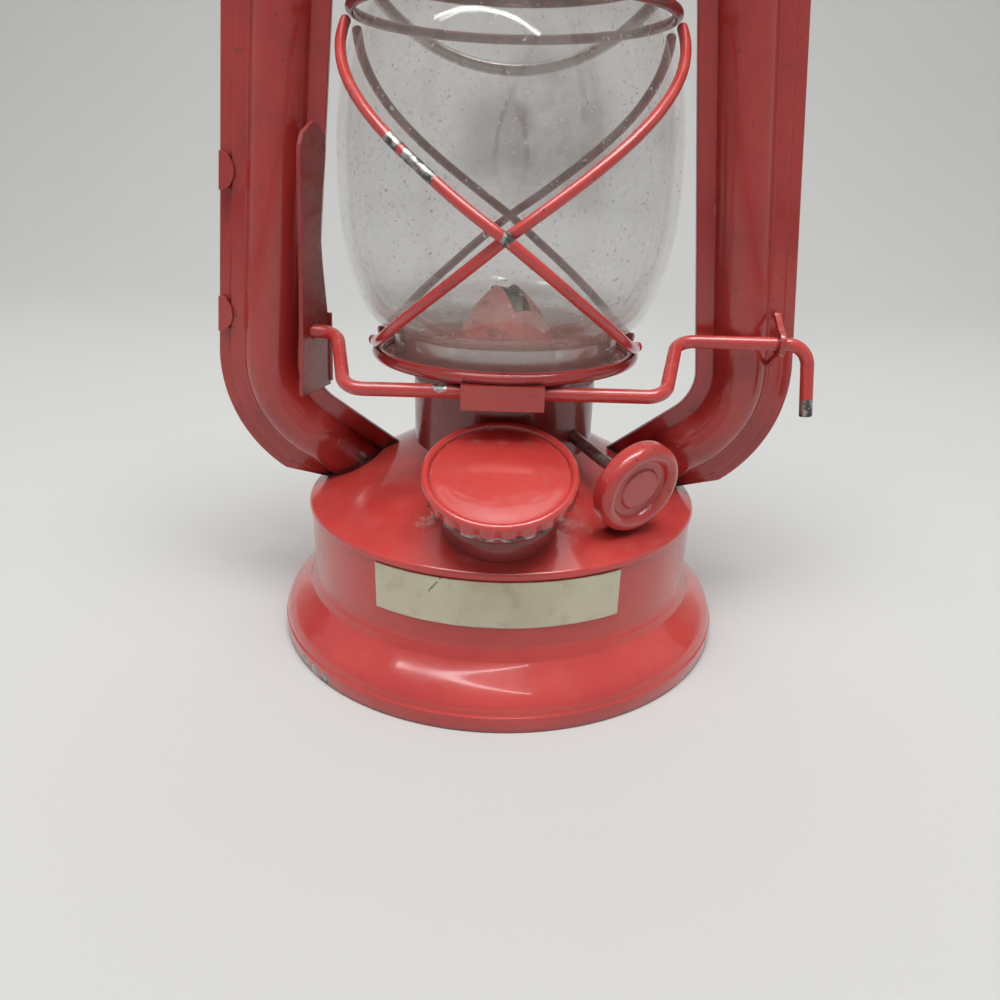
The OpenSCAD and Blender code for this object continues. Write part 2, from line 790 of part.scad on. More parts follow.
function dome(r, h) =
    [for (i = [0 : dome_steps])
        let (share = sin(90 * i / dome_steps))
        [r * pow(max(0, 1 - pow(share, dome_power)), point_power), collar_top + h * share]];

module burner_cone() {
    color(red)
        difference() {
            union() {
                rotate_extrude()
                    polygon(concat(dome(cone_r, cone_h), [[0, collar_top]]));
                translate([0, 0, collar_top])
                    cylinder(r = cone_r + cone_flange, h = sheet_t);
            }
            rotate_extrude()
                polygon(concat([[cone_r - sheet_t, collar_top - 1]], dome(cone_r - sheet_t, cone_h - sheet_t),
                    [[0, collar_top - 1]]));
            wick_frame()
                translate([-wick_w / 2 - slot_gap, -wick_t / 2 - slot_gap, collar_top + cone_h / 2])
                    cube([wick_w + 2 * slot_gap, wick_t + 2 * slot_gap, far]);
        }
}

module wick_tube() {
    wide = wick_w + 2 * wick_gap;
    deep = wick_t + 2 * wick_gap;
    window = 2 * (wheel_r + 1);
    window_w = wheel_w + 2 * slot_gap;
    color([0.72, 0.6, 0.3])
        wick_frame()
            difference() {
                translate([-wide / 2 - wick_tube_t, -deep / 2 - wick_tube_t, base_z + base_t])
                    cube([wide + 2 * wick_tube_t, deep + 2 * wick_tube_t, tube_mouth - base_z - base_t]);
                translate([-wide / 2, -deep / 2, 0])
                    cube([wide, deep, far]);
                translate([-window_w / 2, 0, spindle_z - window / 2])
                    cube([window_w, deep, window]);
            }
}

module wick() {
    color([0.85, 0.8, 0.7])
        wick_frame()
            translate([-wick_w / 2, -wick_t / 2, wick_low])
                cube([wick_w, wick_t, wick_top - wick_low]);
}

module wick_wheel() {
    color(steel)
        spindle_frame()
            rotate([0, 90, 0])
                difference() {
                    cylinder(r = wheel_r, h = wheel_w, center = true);
                    cylinder(r = spindle_r + seat_gap, h = far, center = true);
                    for (i = [0 : wheel_teeth - 1])
                        rotate(360 * i / wheel_teeth)
                            translate([wheel_r + part_air, 0, 0])
                                cylinder(r = tooth_r, h = far, center = true, $fn = 16);
                }
}

hub_t = 2;         // solid back of the knob that the spindle ends in
hub_w = 2.2;       // width of the boss round the spindle
knob_step = 0.6;   // of the knob's back behind its boss
knob_bevel = 1;
knob_round = 1.8;  // of the knob's rim
knob_steps = 6;
dish_h = 1.6;
face_r = 4.4;      // raised middle of the knob's face
face_h = 0.5;

module wick_spindle() {
    start = lug_x - 0.5;
    color(steel)
        spindle_frame()
            translate([start, 0, 0])
                rotate([0, 90, 0])
                    cylinder(r = spindle_r, h = spindle_len - knob_t + hub_t - start);
}

module wick_knob() {
    dish = knob_t - dish_h;
    rim = [for (i = [0 : knob_steps])
        let (a = 170 * i / knob_steps)
        [knob_r - knob_round + knob_round * cos(a), knob_t - knob_round + knob_round * sin(a)]];
    color(red)
        spindle_frame()
            translate([spindle_len - knob_t, 0, 0])
                rotate([0, 90, 0])
                    rotate_extrude()
                        polygon(concat([[spindle_r + seat_gap, 0], [spindle_r + hub_w, 0],
                            [spindle_r + hub_w, knob_step], [knob_r - knob_bevel, knob_step],
                            [knob_r, knob_step + knob_bevel]], rim,
                            [[knob_r - 2 * knob_round - face_h, dish], [face_r + face_h, dish],
                            [face_r, dish + face_h], [0, dish + face_h],
                            [0, hub_t + seat_gap], [spindle_r + seat_gap, hub_t + seat_gap]]));
}

// Globe carriage
curl_front = lift_bar_y - lift_swing_y - lift_r - lift_air;
curl_back = lift_bar_y + lift_r + lift_air;
curl_floor = lift_bar_z - lift_r - lift_air;

module globe_plate() {
    color(red) {
        difference() {
            rotate_extrude()
                union() {
                    translate([plate_hole_r, plate_z])
                        square([plate_r - plate_hole_r, sheet_t]);
                    translate([plate_r, rim_z])
                        circle(rim_r, $fn = 32);
                }
            for (i = [0 : plate_vents - 1])
                rotate(360 * i / plate_vents)
                    translate([(plate_hole_r + globe_foot_r - globe_t) / 2, 0, 0])
                        cylinder(r = plate_vent_r, h = far, $fn = 24);
        }
        difference() {
            translate([-curl_w / 2, curl_front - sheet_t, curl_floor - sheet_t])
                cube([curl_w, curl_back - curl_front + 2 * sheet_t,
                    plate_z + sheet_t / 2 - curl_floor + sheet_t]);
            translate([-curl_w / 2 - 1, curl_front, curl_floor])
                cube([curl_w + 2, curl_back - curl_front, plate_z - curl_floor]);
        }
    }
}

globe_steps = 12;

// Outline of the glass, drawn in by t: a straight foot, a quarter of an ellipse and the upper curve
function globe_curve(t) = concat(
    [[globe_foot_r - t, globe_z], [globe_foot_r - t, globe_z + globe_foot_h + t]],
    [for (i = [0 : globe_steps])
        let (a = 90 * i / globe_steps)
        [globe_foot_r + (globe_r - globe_foot_r - t) * sin(a),
            globe_z + globe_eq_h - (globe_eq_h - globe_foot_h - t) * cos(a)]],
    [for (i = [1 : globe_steps])
        let (h = globe_eq_h + (globe_h - globe_eq_h) * i / globe_steps)
        [globe_at(h) - t, globe_z + h]]);

module globe() {
    color([0.8, 0.78, 0.72, 0.35])
        rotate_extrude()
            polygon(concat(globe_curve(0), backwards(globe_curve(globe_t))));
}

guard_steps = 36;
guard_end_a = 80;  // how far round from the front the guard wires end, in degrees
guard_low_h = rim_r * 2 - sheet_t + guard_r;
guard_high_h = guard_ring_h - 2 * guard_r;
cross_bump = guard_d + run_gap;
bump_a = 26;
low_power = 1.25;  // how the lower leg of a guard wire curves
plate_power = 6;

// Height of a guard wire, where a runs from its lower end to its upper end through the crossing at 0
function guard_h(a) = a < 0
    ? guard_low_h + (guard_cross_h - guard_low_h) * pow(1 + sin(a) / sin(guard_end_a), low_power)
    : guard_cross_h + (guard_high_h - guard_cross_h) * a / guard_end_a;

function guard_at(a, over) =
    max(guard_in(guard_h(a)), a < 0 ? plate_r * pow(-a / guard_end_a, plate_power) : 0) + guard_air + guard_r
    + (over && abs(a) < bump_a ? cross_bump * (1 + cos(180 * a / bump_a)) / 2 : 0);

function guard_path(hand) =
    [for (i = [0 : guard_steps])
        let (a = guard_end_a * (2 * i / guard_steps - 1), r = guard_at(a, hand < 0))
        [hand * r * sin(a), -r * cos(a), globe_z + guard_h(a)]];

module guard() {
    color(red)
        for (hand = [-1, 1])
            wire(guard_path(hand), guard_r, 10);
}

module front_guard() {
    guard();
}

module rear_guard() {
    rotate(180)
        guard();
}

module guard_ring() {
    color(red)
        translate([0, 0, globe_z + guard_ring_h])
            rotate_extrude()
                translate([guard_ring_r, 0])
                    circle(guard_r, $fn = 24);
}

// Crown and hood
eave_w = 5;        // width of the lower slope of the crown's roof
eave_h = crown_roof_h * 0.55;
neck_w = 2;        // width of the flat at the top of the roof

module crown() {
    color(red)
        difference() {
            rotate_extrude()
                difference() {
                    polygon([[crown_bore_r, crown_z], [crown_r, crown_z], [crown_r, crown_eaves],
                        [crown_r - eave_w, crown_eaves + eave_h],
                        [crown_bore_r + neck_w, crown_top - sheet_t / 2], [crown_bore_r, crown_top],
                        [chimney_r + slide_gap, crown_top], [chimney_r + slide_gap, crown_top - sheet_t],
                        [crown_bore_r, crown_top - sheet_t]]);
                    polygon([[crown_bore_r + sheet_t, crown_z + sheet_t],
                        [crown_r - sheet_t, crown_z + sheet_t],
                        [crown_r - sheet_t, crown_eaves - sheet_t / 2],
                        [crown_r - eave_w - sheet_t / 2, crown_eaves + eave_h - sheet_t],
                        [crown_bore_r + sheet_t, crown_top - 2 * sheet_t]]);
                }
            for (side = [0, 180])
                rotate(side)
                    translate([crown_bore_r + neck_w, 0, tube_top_z])
                        rotate([0, 90, 0])
                            cylinder(r = tube_r - sheet_t, h = far);
        }
}

vent_share = 0.55; // of the chimney's girth that is open

module chimney() {
    vent_w = 2 * PI * chimney_r / vent_count * vent_share;
    color(red)
        difference() {
            translate([0, 0, globe_top])
                cylinder(r = chimney_r, h = chimney_top - globe_top);
            translate([0, 0, globe_top - 1])
                cylinder(r = chimney_r - sheet_t, h = far);
            for (i = [0 : vent_count - 1])
                rotate(360 * i / vent_count)
                    translate([0, -vent_w / 2, chimney_top - vent_h - 1])
                        cube([far, vent_w, vent_h]);
        }
}

module globe_cap() {
    lip_h = 3;
    lip = globe_mouth_r + guard_air;
    brim = globe_at(globe_h - lip_h) + guard_air;
    color(red)
        rotate_extrude()
            polygon([[chimney_r + seat_gap, globe_top], [lip, globe_top], [brim, globe_top - lip_h],
                [brim + sheet_t, globe_top - lip_h], [lip + sheet_t, globe_top + sheet_t],
                [cap_collar_r, globe_top + sheet_t], [cap_collar_r, cap_collar_top],
                [cap_collar_r - sheet_t, cap_collar_top], [cap_collar_r - sheet_t, globe_top + sheet_t],
                [chimney_r + seat_gap, globe_top + sheet_t]]);
}

hood_steps = 8;

function hood_curve(t) = concat([[hood_r - t, brim_z]],
    [for (i = [0 : hood_steps])
        let (a = 90 * i / hood_steps)
        [(hood_r - t) * cos(a), brim_z + brim_h + (hood_h - t) * sin(a)]]);

function hood_inside(r) =
    brim_z + brim_h + (hood_h - sheet_t) * sqrt(1 - pow(r / (hood_r - sheet_t), 2));

// A dome with a ring inside that sits on the chimney
module hood() {
    ring_in = chimney_r - sheet_t;
    ring_out = chimney_r + sheet_t;
    sink = sheet_t / 2;
    color(red)
        rotate_extrude()
            union() {
                polygon(concat(hood_curve(0), backwards(hood_curve(sheet_t))));
                polygon([[ring_in, chimney_top], [ring_out, chimney_top],
                    [ring_out, hood_inside(ring_out) + sink], [ring_in, hood_inside(ring_in) + sink]]);
            }
}

function spring_point(s) =
    let (a = 360 * spring_turns * s,
        low = globe_top + sheet_t + spring_d / 2 + seat_gap,
        high = crown_top - sheet_t - spring_d / 2 - seat_gap)
    [spring_r * cos(a), spring_r * sin(a), low + (high - low) * s];

spring_rings = 12;
spring_path = [for (i = [0 : spring_rings * spring_turns]) spring_point(i / (spring_rings * spring_turns))];
spring_gap = min([for (i = [0 : len(spring_path) - 1 - spring_rings])
    norm(spring_path[i + spring_rings] - spring_path[i])]) - spring_d;
echo(least_gap_of_the_spring_to_itself = spring_gap);

module hood_spring() {
    color(steel)
        wire(spring_path, spring_d / 2, 6);
}

eye_w = 5;
eye_t = 1.2;
eye_lift = 0.4;
eye_pivot_z = hood_top + ring_d / 2 + run_gap + eye_lift;

module hood_eye() {
    outer = ring_d / 2 + run_gap + eye_t;
    color(red)
        difference() {
            union() {
                translate([0, 0, eye_pivot_z])
                    rotate([0, 90, 0])
                        cylinder(r = outer, h = eye_w, center = true);
                translate([-eye_w / 2, -outer, hood_top + seat_gap])
                    cube([eye_w, 2 * outer, eye_pivot_z - hood_top - seat_gap]);
            }
            translate([0, 0, eye_pivot_z])
                rotate([0, 90, 0])
                    cylinder(r = ring_d / 2 + run_gap, h = far, center = true);
            translate([-far / 2, -far / 2, hood_top - far + seat_gap])
                cube([far, far, far]);
        }
}

// A ring with a straight pin that turns in the eye
ring_cut = 18;     // half of the ring's arc that the pin takes the place of, in degrees
ring_steps = 20;
pin_out = 1.6;     // of the pin past the eye
pin_split = 0.02;

module hood_ring() {
    half = eye_w / 2 + pin_out;
    middle = eye_pivot_z + ring_r * cos(ring_cut);
    arc = [for (k = [1 : ring_steps - 1])
        let (a = -90 + ring_cut + (360 - 2 * ring_cut) * k / ring_steps)
        [ring_r * cos(a), 0, middle + ring_r * sin(a)]];
    path = concat([[0, 0, eye_pivot_z], [half, 0, eye_pivot_z]], arc,
        [[-half, 0, eye_pivot_z], [-pin_split, 0, eye_pivot_z]]);
    color(steel)
        wire(path, ring_d / 2, 10);
}

// Bail
module bail_ears() {
    hole = bail_r + run_gap;
    color(red)
        for (side = [-1, 1])
            difference() {
                union() {
                    translate([side * ear_x - ear_t / 2, -ear_half_w, ear_seat_z])
                        cube([ear_t, 2 * ear_half_w, ear_pivot_z - ear_seat_z]);
                    translate([side * ear_x - ear_t / 2, 0, ear_pivot_z])
                        rotate([0, 90, 0])
                            cylinder(r = ear_half_w, h = ear_t);
                }
                translate([side * ear_x, 0, ear_pivot_z])
                    rotate([0, 90, 0])
                        cylinder(r = hole, h = far / 10, center = true);
            }
}

arch_steps = 20;
bail_bend = 2.2;

module bail() {
    stub_x = bail_half_w - bail_stub;
    leg = rounded([[stub_x, 0, 0], [bail_half_w, 0, 0], [bail_half_w, 0, -bail_leg]], bail_bend);
    arch = [for (i = [0 : arch_steps])
        let (a = 180 * i / arch_steps)
        [bail_half_w * cos(a), 0, -bail_leg - bail_half_w * sin(a)]];
    other = backwards([for (p = leg) [-p.x, p.y, p.z]]);
    path = concat([for (i = [0 : len(leg) - 2]) leg[i]], arch, [for (i = [1 : len(other) - 1]) other[i]]);
    color(steel)
        translate([0, 0, ear_pivot_z])
            rotate([bail_tilt, 0, 0])
                wire(path, bail_r);
}

tank_shell();
tank_bottom();
filler_neck();
filler_cap();
cap_gasket();
fill_label();
left_tube_front();
left_tube_rear();
right_tube_front();
right_tube_rear();
seam_clips();
lift_bracket();
lift_staple();
burner_base();
burner_collar();
burner_cone();
wick_tube();
wick();
wick_wheel();
wick_spindle();
wick_knob();
globe_plate();
globe();
front_guard();
rear_guard();
guard_ring();
lift_wire();
crown();
chimney();
globe_cap();
hood();
hood_spring();
hood_eye();
hood_ring();
bail_ears();
bail();
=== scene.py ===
import math

import bmesh
import bpy
from mathutils import Matrix, Vector


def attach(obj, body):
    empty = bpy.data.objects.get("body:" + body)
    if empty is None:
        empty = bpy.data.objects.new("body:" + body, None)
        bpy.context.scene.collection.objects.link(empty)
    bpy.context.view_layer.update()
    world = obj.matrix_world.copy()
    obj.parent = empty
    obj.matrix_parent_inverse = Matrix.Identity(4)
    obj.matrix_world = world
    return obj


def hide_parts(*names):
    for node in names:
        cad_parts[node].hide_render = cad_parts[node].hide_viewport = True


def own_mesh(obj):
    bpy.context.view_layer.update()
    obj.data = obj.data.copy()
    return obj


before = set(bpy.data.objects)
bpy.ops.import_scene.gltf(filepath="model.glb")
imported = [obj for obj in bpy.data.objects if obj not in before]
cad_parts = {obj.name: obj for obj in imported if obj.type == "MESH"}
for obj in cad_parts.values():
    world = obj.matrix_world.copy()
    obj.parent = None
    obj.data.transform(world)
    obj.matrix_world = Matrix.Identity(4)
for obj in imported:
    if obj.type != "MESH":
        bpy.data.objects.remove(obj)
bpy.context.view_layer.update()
scene = bpy.context.scene
MM = 0.001

# Camera: at the photograph's height, angle and slight roll
AIM = Vector((-0.3, 0, 29.2)) * MM
AZIMUTH, ELEVATION, ROLL = (math.radians(a) for a in (0.6, 22.5, 1.5))
DISTANCE = 204.5 * MM
back = Vector((math.sin(AZIMUTH) * math.cos(ELEVATION), -math.cos(AZIMUTH) * math.cos(ELEVATION),
               math.sin(ELEVATION)))
level = (-back).cross(Vector((0, 0, 1))).normalized()
upright = level.cross(-back)
right = math.cos(ROLL) * level + math.sin(ROLL) * upright
up = math.cos(ROLL) * upright - math.sin(ROLL) * level
cam = bpy.data.objects.new("camera", bpy.data.cameras.new("camera"))
cam.data.sensor_width = 36
cam.data.lens = 28.8
cam.data.clip_start = 0.005
cam.matrix_world = Matrix.Translation(AIM + DISTANCE * back) @ Matrix((right, up, back)).transposed().to_4x4()
scene.collection.objects.link(cam)
scene.camera = cam


class Shade:
    """A node material under construction, with its textures in the part's own frame."""

    def __init__(self, name, **values):
        self.mat = bpy.data.materials.new(name)
        self.mat.use_nodes = True
        self.tree = self.mat.node_tree
        self.bsdf = self.tree.nodes["Principled BSDF"]
        self.place = self.node("ShaderNodeTexCoord").outputs["Object"]
        self.set(**values)

    def node(self, kind, **settings):
        n = self.tree.nodes.new(kind)
        for key, value in settings.items():
            setattr(n, key, value)
        return n

    def put(self, socket, value):
        if isinstance(value, bpy.types.NodeSocket):
            self.tree.links.new(value, socket)
        else:
            socket.default_value = value

    def set(self, **values):
        for key, value in values.items():
            name = key.replace("_", " ").title().replace("Ior", "IOR")
            if isinstance(value, tuple) and len(value) == 3:
                value = (*value, 1)
            self.put(self.bsdf.inputs[name], value)

    def noise(self, scale, detail=4.0, rough=0.55, stretch=None, warp=0.0):
        n = self.node("ShaderNodeTexNoise")
        n.inputs["Scale"].default_value = scale
        n.inputs["Detail"].default_value = detail
        n.inputs["Roughness"].default_value = rough
        n.inputs["Distortion"].default_value = warp
        where = self.place
        if stretch:
            m = self.node("ShaderNodeMapping")
            self.put(m.inputs["Vector"], where)
            m.inputs["Scale"].default_value = stretch
            where = m.outputs["Vector"]
        self.put(n.inputs["Vector"], where)
        return n.outputs["Fac"]

    def ramp(self, value, low, high, to_low=0.0, to_high=1.0):
        n = self.node("ShaderNodeMapRange", interpolation_type="SMOOTHSTEP")
        names = ("Value", "From Min", "From Max", "To Min", "To Max")
        for key, v in zip(names, (value, low, high, to_low, to_high)):
            self.put(n.inputs[key], v)
        return n.outputs["Result"]

    def math(self, op, a, b=0.0):
        n = self.node("ShaderNodeMath", operation=op)
        self.put(n.inputs[0], a)
        self.put(n.inputs[1], b)
        return n.outputs[0]

    def most(self, *values):
        """The largest of several values; those that are None are passed over."""
        values = [v for v in values if v is not None]
        top = values[0]
        for v in values[1:]:
            top = self.math("MAXIMUM", top, v)
        return top

    def mix(self, fac, a, b):
        n = self.node("ShaderNodeMix", data_type="RGBA")
        self.put(n.inputs["Factor"], fac)
        for socket, v in ((n.inputs[6], a), (n.inputs[7], b)):
            self.put(socket, (*v, 1) if isinstance(v, tuple) and len(v) == 3 else v)
        return n.outputs[2]

    def vector(self, op, a, b):
        n = self.node("ShaderNodeVectorMath", operation=op)
        self.put(n.inputs[0], a)
        self.put(n.inputs[1], b)
        return n.outputs["Value"] if op in ("DOT_PRODUCT", "DISTANCE", "LENGTH") else n.outputs["Vector"]

    def axis(self, letter):
        n = self.node("ShaderNodeSeparateXYZ")
        self.put(n.inputs[0], self.place)
        return n.outputs[letter]

    def radius(self):
        """Distance from the lantern's axis, in metres."""
        return self.vector("LENGTH", self.vector("MULTIPLY", self.place, (1, 1, 0)), (0, 0, 0))

    def along(self, point, direction):
        """Distance of the surface from a point, along a direction, in millimetres."""
        offset = self.vector("SUBTRACT", self.place, Vector(point) * MM)
        return self.vector("DOT_PRODUCT", offset, Vector(direction).normalized() / MM)

    def near(self, point, reach):
        """1 at a point of the part, falling to 0 at the reach, both in millimetres."""
        return self.ramp(self.vector("DISTANCE", self.place, Vector(point) * MM), 0.0, reach * MM, 1.0, 0.0)

    def line(self, start, end):
        """Distance from a straight line between two points, in millimetres."""
        a, d = Vector(start), Vector(end) - Vector(start)
        share = self.math("DIVIDE", self.along(start, d), d.length)
        share = self.math("MINIMUM", self.math("MAXIMUM", share, 0.0), 1.0)
        foot = self.node("ShaderNodeMix", data_type="VECTOR")
        self.put(foot.inputs["Factor"], share)
        foot.inputs[4].default_value = a * MM
        foot.inputs[5].default_value = Vector(end) * MM
        return self.math("DIVIDE", self.vector("DISTANCE", self.place, foot.outputs[1]), MM)

    def normal(self):
        return self.node("ShaderNodeNewGeometry").outputs["Normal"]

    def edges(self, radius):
        """1 on sharp edges, 0 on flat or gently curved faces."""
        b = self.node("ShaderNodeBevel", samples=4)
        b.inputs["Radius"].default_value = radius * MM
        return self.ramp(self.vector("DOT_PRODUCT", b.outputs[0], self.normal()), 0.99, 0.8)

    def occlusion_shade(self, reach):
        """Ambient occlusion for painted shade: 1 where other surfaces crowd in, 0 in the open."""
        n = self.node("ShaderNodeAmbientOcclusion", samples=6)
        n.inputs["Distance"].default_value = reach * MM
        return self.ramp(n.outputs["AO"], 0.15, 0.75, 1.0, 0.0)

    def bump(self, height, depth, strength=1.0):
        n = self.node("ShaderNodeBump")
        n.inputs["Strength"].default_value = strength
        n.inputs["Distance"].default_value = depth * MM
        self.put(n.inputs["Height"], height)
        self.put(self.bsdf.inputs["Normal"], n.outputs[0])


RED = (0.63, 0.058, 0.048)
RED_DEEP = (0.53, 0.040, 0.036)
RED_PALE = (0.66, 0.100, 0.085)
# Dark brown for dirt and for painted shade.
GRIME_AND_SHADE = (0.030, 0.014, 0.011)
DUST = (0.42, 0.25, 0.22)
BARE = (0.07, 0.065, 0.06)
STEEL = (0.42, 0.41, 0.39)


def enamel(name, wear=0.0, grime=0.2, chips=(), bare=None, dust=0.25, scuffs=(), rim=None, painted_shade=0.0, tone=1.0,
           dust_colour=DUST, dust_reach=None):
    """Glossy red enamel on tin plate: uneven coat, dirt, painted shade in the corners, dust on top, worn edges
    and chips.
    """
    s = Shade(name, IOR=1.5, coat_weight=0.55, coat_roughness=0.06)
    coat = s.ramp(s.noise(34, 3), 0.3, 0.7)
    # A tone below 1 paints a darker, shaded copy of the enamel: painted shade for parts that sit in shadow.
    deep, fresh, pale = (tuple(tone * c for c in red) for red in (RED_DEEP, RED, RED_PALE))
    colour = s.mix(coat, deep, fresh)
    colour = s.mix(s.ramp(s.noise(110, 5, 0.6, warp=0.6), 0.58, 0.82, 0.0, 0.35), colour, pale)
    patches = s.math("MULTIPLY", s.ramp(s.noise(75, 8, 0.65), 0.5, 0.74), grime)
    specks = s.math("MULTIPLY", s.ramp(s.noise(850, 3, 0.5), 0.655, 0.71), min(1.0, 2.4 * grime))
    # Painted shade: ambient occlusion darkens corners and gaps between parts, mixed in with the dirt patches
    # and specks.
    corners = s.math("MULTIPLY", s.occlusion_shade(2.2), s.ramp(s.noise(300, 5), 0.25, 0.6, 0.35, 0.9))
    dirt = s.most(patches, specks, corners)
    # Painted shade: extra noisy darkening over the whole part, for parts that sit in shadow.
    if painted_shade:
        dirt = s.most(dirt, s.ramp(s.noise(160, 6, 0.6), 0.3, 0.7, 0.6 * painted_shade, painted_shade))
    colour = s.mix(dirt, colour, GRIME_AND_SHADE)
    lift = s.node("ShaderNodeSeparateXYZ")
    s.put(lift.inputs[0], s.normal())
    settled = s.ramp(s.noise(190, 7, 0.7), 0.42, 0.72, 0.02, dust)
    film = s.math("MULTIPLY", s.ramp(lift.outputs["Z"], 0.2, 1.0), settled)
    if dust_reach:
        film = s.math("MULTIPLY", film, s.ramp(s.radius(), dust_reach * MM, (dust_reach + 1) * MM, 1.0, 0.0))
    for point, reach in scuffs:
        scuff = s.math("MULTIPLY", s.near(point, reach), s.ramp(s.noise(520, 6, 0.7), 0.5, 0.62))
        film = s.most(film, s.math("MULTIPLY", scuff, 0.85))
    colour = s.mix(film, colour, dust_colour)
    worn = None
    ragged = s.noise(430, 6, 0.65)
    if wear:
        worn = s.math("MULTIPLY", s.edges(0.6), s.ramp(ragged, 0.62 - 0.25 * wear, 0.69 - 0.25 * wear))
    for point, reach in chips:
        chip = s.math("MULTIPLY", s.near(point, reach), s.math("ADD", ragged, 0.2))
        worn = s.most(worn, s.ramp(chip, 0.36, 0.42))
    if rim:
        point, direction, low, high = rim
        band = s.ramp(s.along(point, direction), low, high, 1.0, 0.0)
        worn = s.most(worn, s.ramp(s.math("MULTIPLY", band, s.math("ADD", ragged, 0.22)), 0.40, 0.46))
    if bare:
        worn = s.most(worn, s.ramp(s.math("ADD", s.along(*bare), s.math("MULTIPLY", ragged, 2.0)), 0.9, 1.1))
    dull = s.math("MULTIPLY", s.most(dirt, film), 0.45)
    rough = s.math("ADD", s.ramp(s.noise(230, 4), 0.3, 0.7, 0.14, 0.24), dull)
    height = s.math("ADD", s.noise(24, 2), s.math("MULTIPLY", s.noise(620, 2), 0.06))
    if worn is not None:
        metal = s.mix(s.ramp(s.noise(520, 5), 0.42, 0.6), BARE, STEEL)
        colour = s.mix(worn, colour, metal)
        rough = s.math("ADD", rough, s.math("MULTIPLY", worn, 0.18))
        height = s.math("SUBTRACT", height, s.math("MULTIPLY", worn, 0.2))
        s.set(metallic=s.math("MULTIPLY", worn, 0.8))
    s.set(base_color=colour, roughness=rough)
    s.bump(height, 0.4)
    return s.mat


def steel(name, rust=0.3):
    """Bare drawn wire and pressed steel, dull, with rusty freckles, draw marks and painted shade in the
    crevices.
    """
    s = Shade(name, metallic=1.0)
    rusty = s.math("MULTIPLY", s.ramp(s.noise(260, 7, 0.65), 0.5, 0.68), rust)
    colour = s.mix(s.ramp(s.noise(90, 4), 0.3, 0.7), (0.32, 0.31, 0.29), (0.50, 0.49, 0.47))
    # The soot mask here is painted shade: ambient occlusion darkens the crevices.
    soot = s.math("MULTIPLY", s.occlusion_shade(3.0), 0.8)
    colour = s.mix(soot, s.mix(rusty, colour, (0.13, 0.055, 0.025)), GRIME_AND_SHADE)
    s.set(base_color=colour)
    worked = s.ramp(s.noise(480, 5), 0.3, 0.7, 0.26, 0.4)
    s.set(roughness=s.math("ADD", worked, s.math("MULTIPLY", rusty, 0.4)))
    s.bump(s.noise(1300, 4), 0.05)
    return s.mat


def brass():
    s = Shade("dull_brass", metallic=1.0)
    tarnish = s.ramp(s.noise(150, 6), 0.4, 0.7)
    s.set(base_color=s.mix(tarnish, (0.55, 0.38, 0.14), (0.2, 0.12, 0.05)))
    s.set(roughness=s.ramp(s.noise(400, 5), 0.3, 0.7, 0.3, 0.5))
    s.bump(s.noise(900, 4), 0.04)
    return s.mat


def glass():
    """Lamp glass under a film of soot and dust, thicker low down, with a smoked patch and specks."""
    s = Shade("sooty_glass", IOR=2.6, coat_weight=1.0, coat_ior=2.2, coat_roughness=0.03)
    low = s.ramp(s.axis("Z"), 0.069, 0.085, 0.62, 0.0)
    patches = s.ramp(s.noise(26, 6, 0.6, warp=0.9), 0.42, 0.72, 0.0, 0.22)
    specks = s.ramp(s.noise(850, 3), 0.64, 0.70, 0.0, 0.55)
    film = s.math("MINIMUM", s.math("ADD", s.math("ADD", low, patches), specks), 0.85)
    smoke = s.math("MULTIPLY", s.near((6, 37, 118), 36), s.ramp(s.noise(60, 5), 0.3, 0.7, 0.4, 1.0))
    tint = s.mix(film, (0.44, 0.39, 0.34), (0.60, 0.53, 0.47))
    s.set(base_color=s.mix(s.math("MULTIPLY", smoke, 0.85), tint, (0.10, 0.085, 0.075)))
    s.set(alpha=s.ramp(s.most(film, s.math("MULTIPLY", smoke, 0.7)), 0.0, 0.9, 0.12, 0.8))
    s.set(roughness=s.ramp(film, 0.0, 0.9, 0.03, 0.4))
    s.bump(s.noise(45, 3), 0.2)
    return s.mat


def cork():
    s = Shade("pressed_cork")
    grain = s.noise(900, 5, 0.7)
    s.set(base_color=s.mix(s.ramp(grain, 0.35, 0.65), (0.2, 0.1, 0.045), (0.48, 0.3, 0.16)))
    s.set(roughness=s.ramp(grain, 0.0, 1.0, 0.75, 0.95))
    s.bump(grain, 0.2)
    return s.mat


def paper():
    """A cream sticker, yellowed and scuffed, with a tear near one end and dirt along its rim."""
    s = Shade("cream_paper")
    tone = s.mix(s.ramp(s.noise(70, 5), 0.35, 0.7), (0.66, 0.62, 0.46), (0.58, 0.53, 0.37))
    wobble = s.math("MULTIPLY", s.math("SUBTRACT", s.noise(260, 4), 0.5), 3.4)
    tear = s.math("ADD", s.line((-11.3, -45.9, 31.0), (-14.6, -44.9, 26.2)), s.math("ABSOLUTE", wobble))
    torn = s.ramp(tear, 0.12, 0.42, 1.0, 0.0)
    rim = s.most(s.ramp(s.axis("Z"), 0.0207, 0.0203), s.ramp(s.axis("Z"), 0.0303, 0.0308))
    stain = s.math("MULTIPLY", s.ramp(s.noise(240, 6), 0.52, 0.72), 0.22)
    edge = s.math("MULTIPLY", rim, s.ramp(s.noise(180, 4), 0.4, 0.7, 0.0, 0.45))
    dirt = s.most(s.math("MULTIPLY", torn, 0.9), edge, stain)
    s.set(base_color=s.mix(dirt, tone, (0.16, 0.10, 0.07)))
    s.set(roughness=s.ramp(s.noise(300, 4), 0.3, 0.7, 0.38, 0.55))
    s.bump(s.math("SUBTRACT", s.noise(1500, 4), s.math("MULTIPLY", torn, 4.0)), 0.04)
    return s.mat


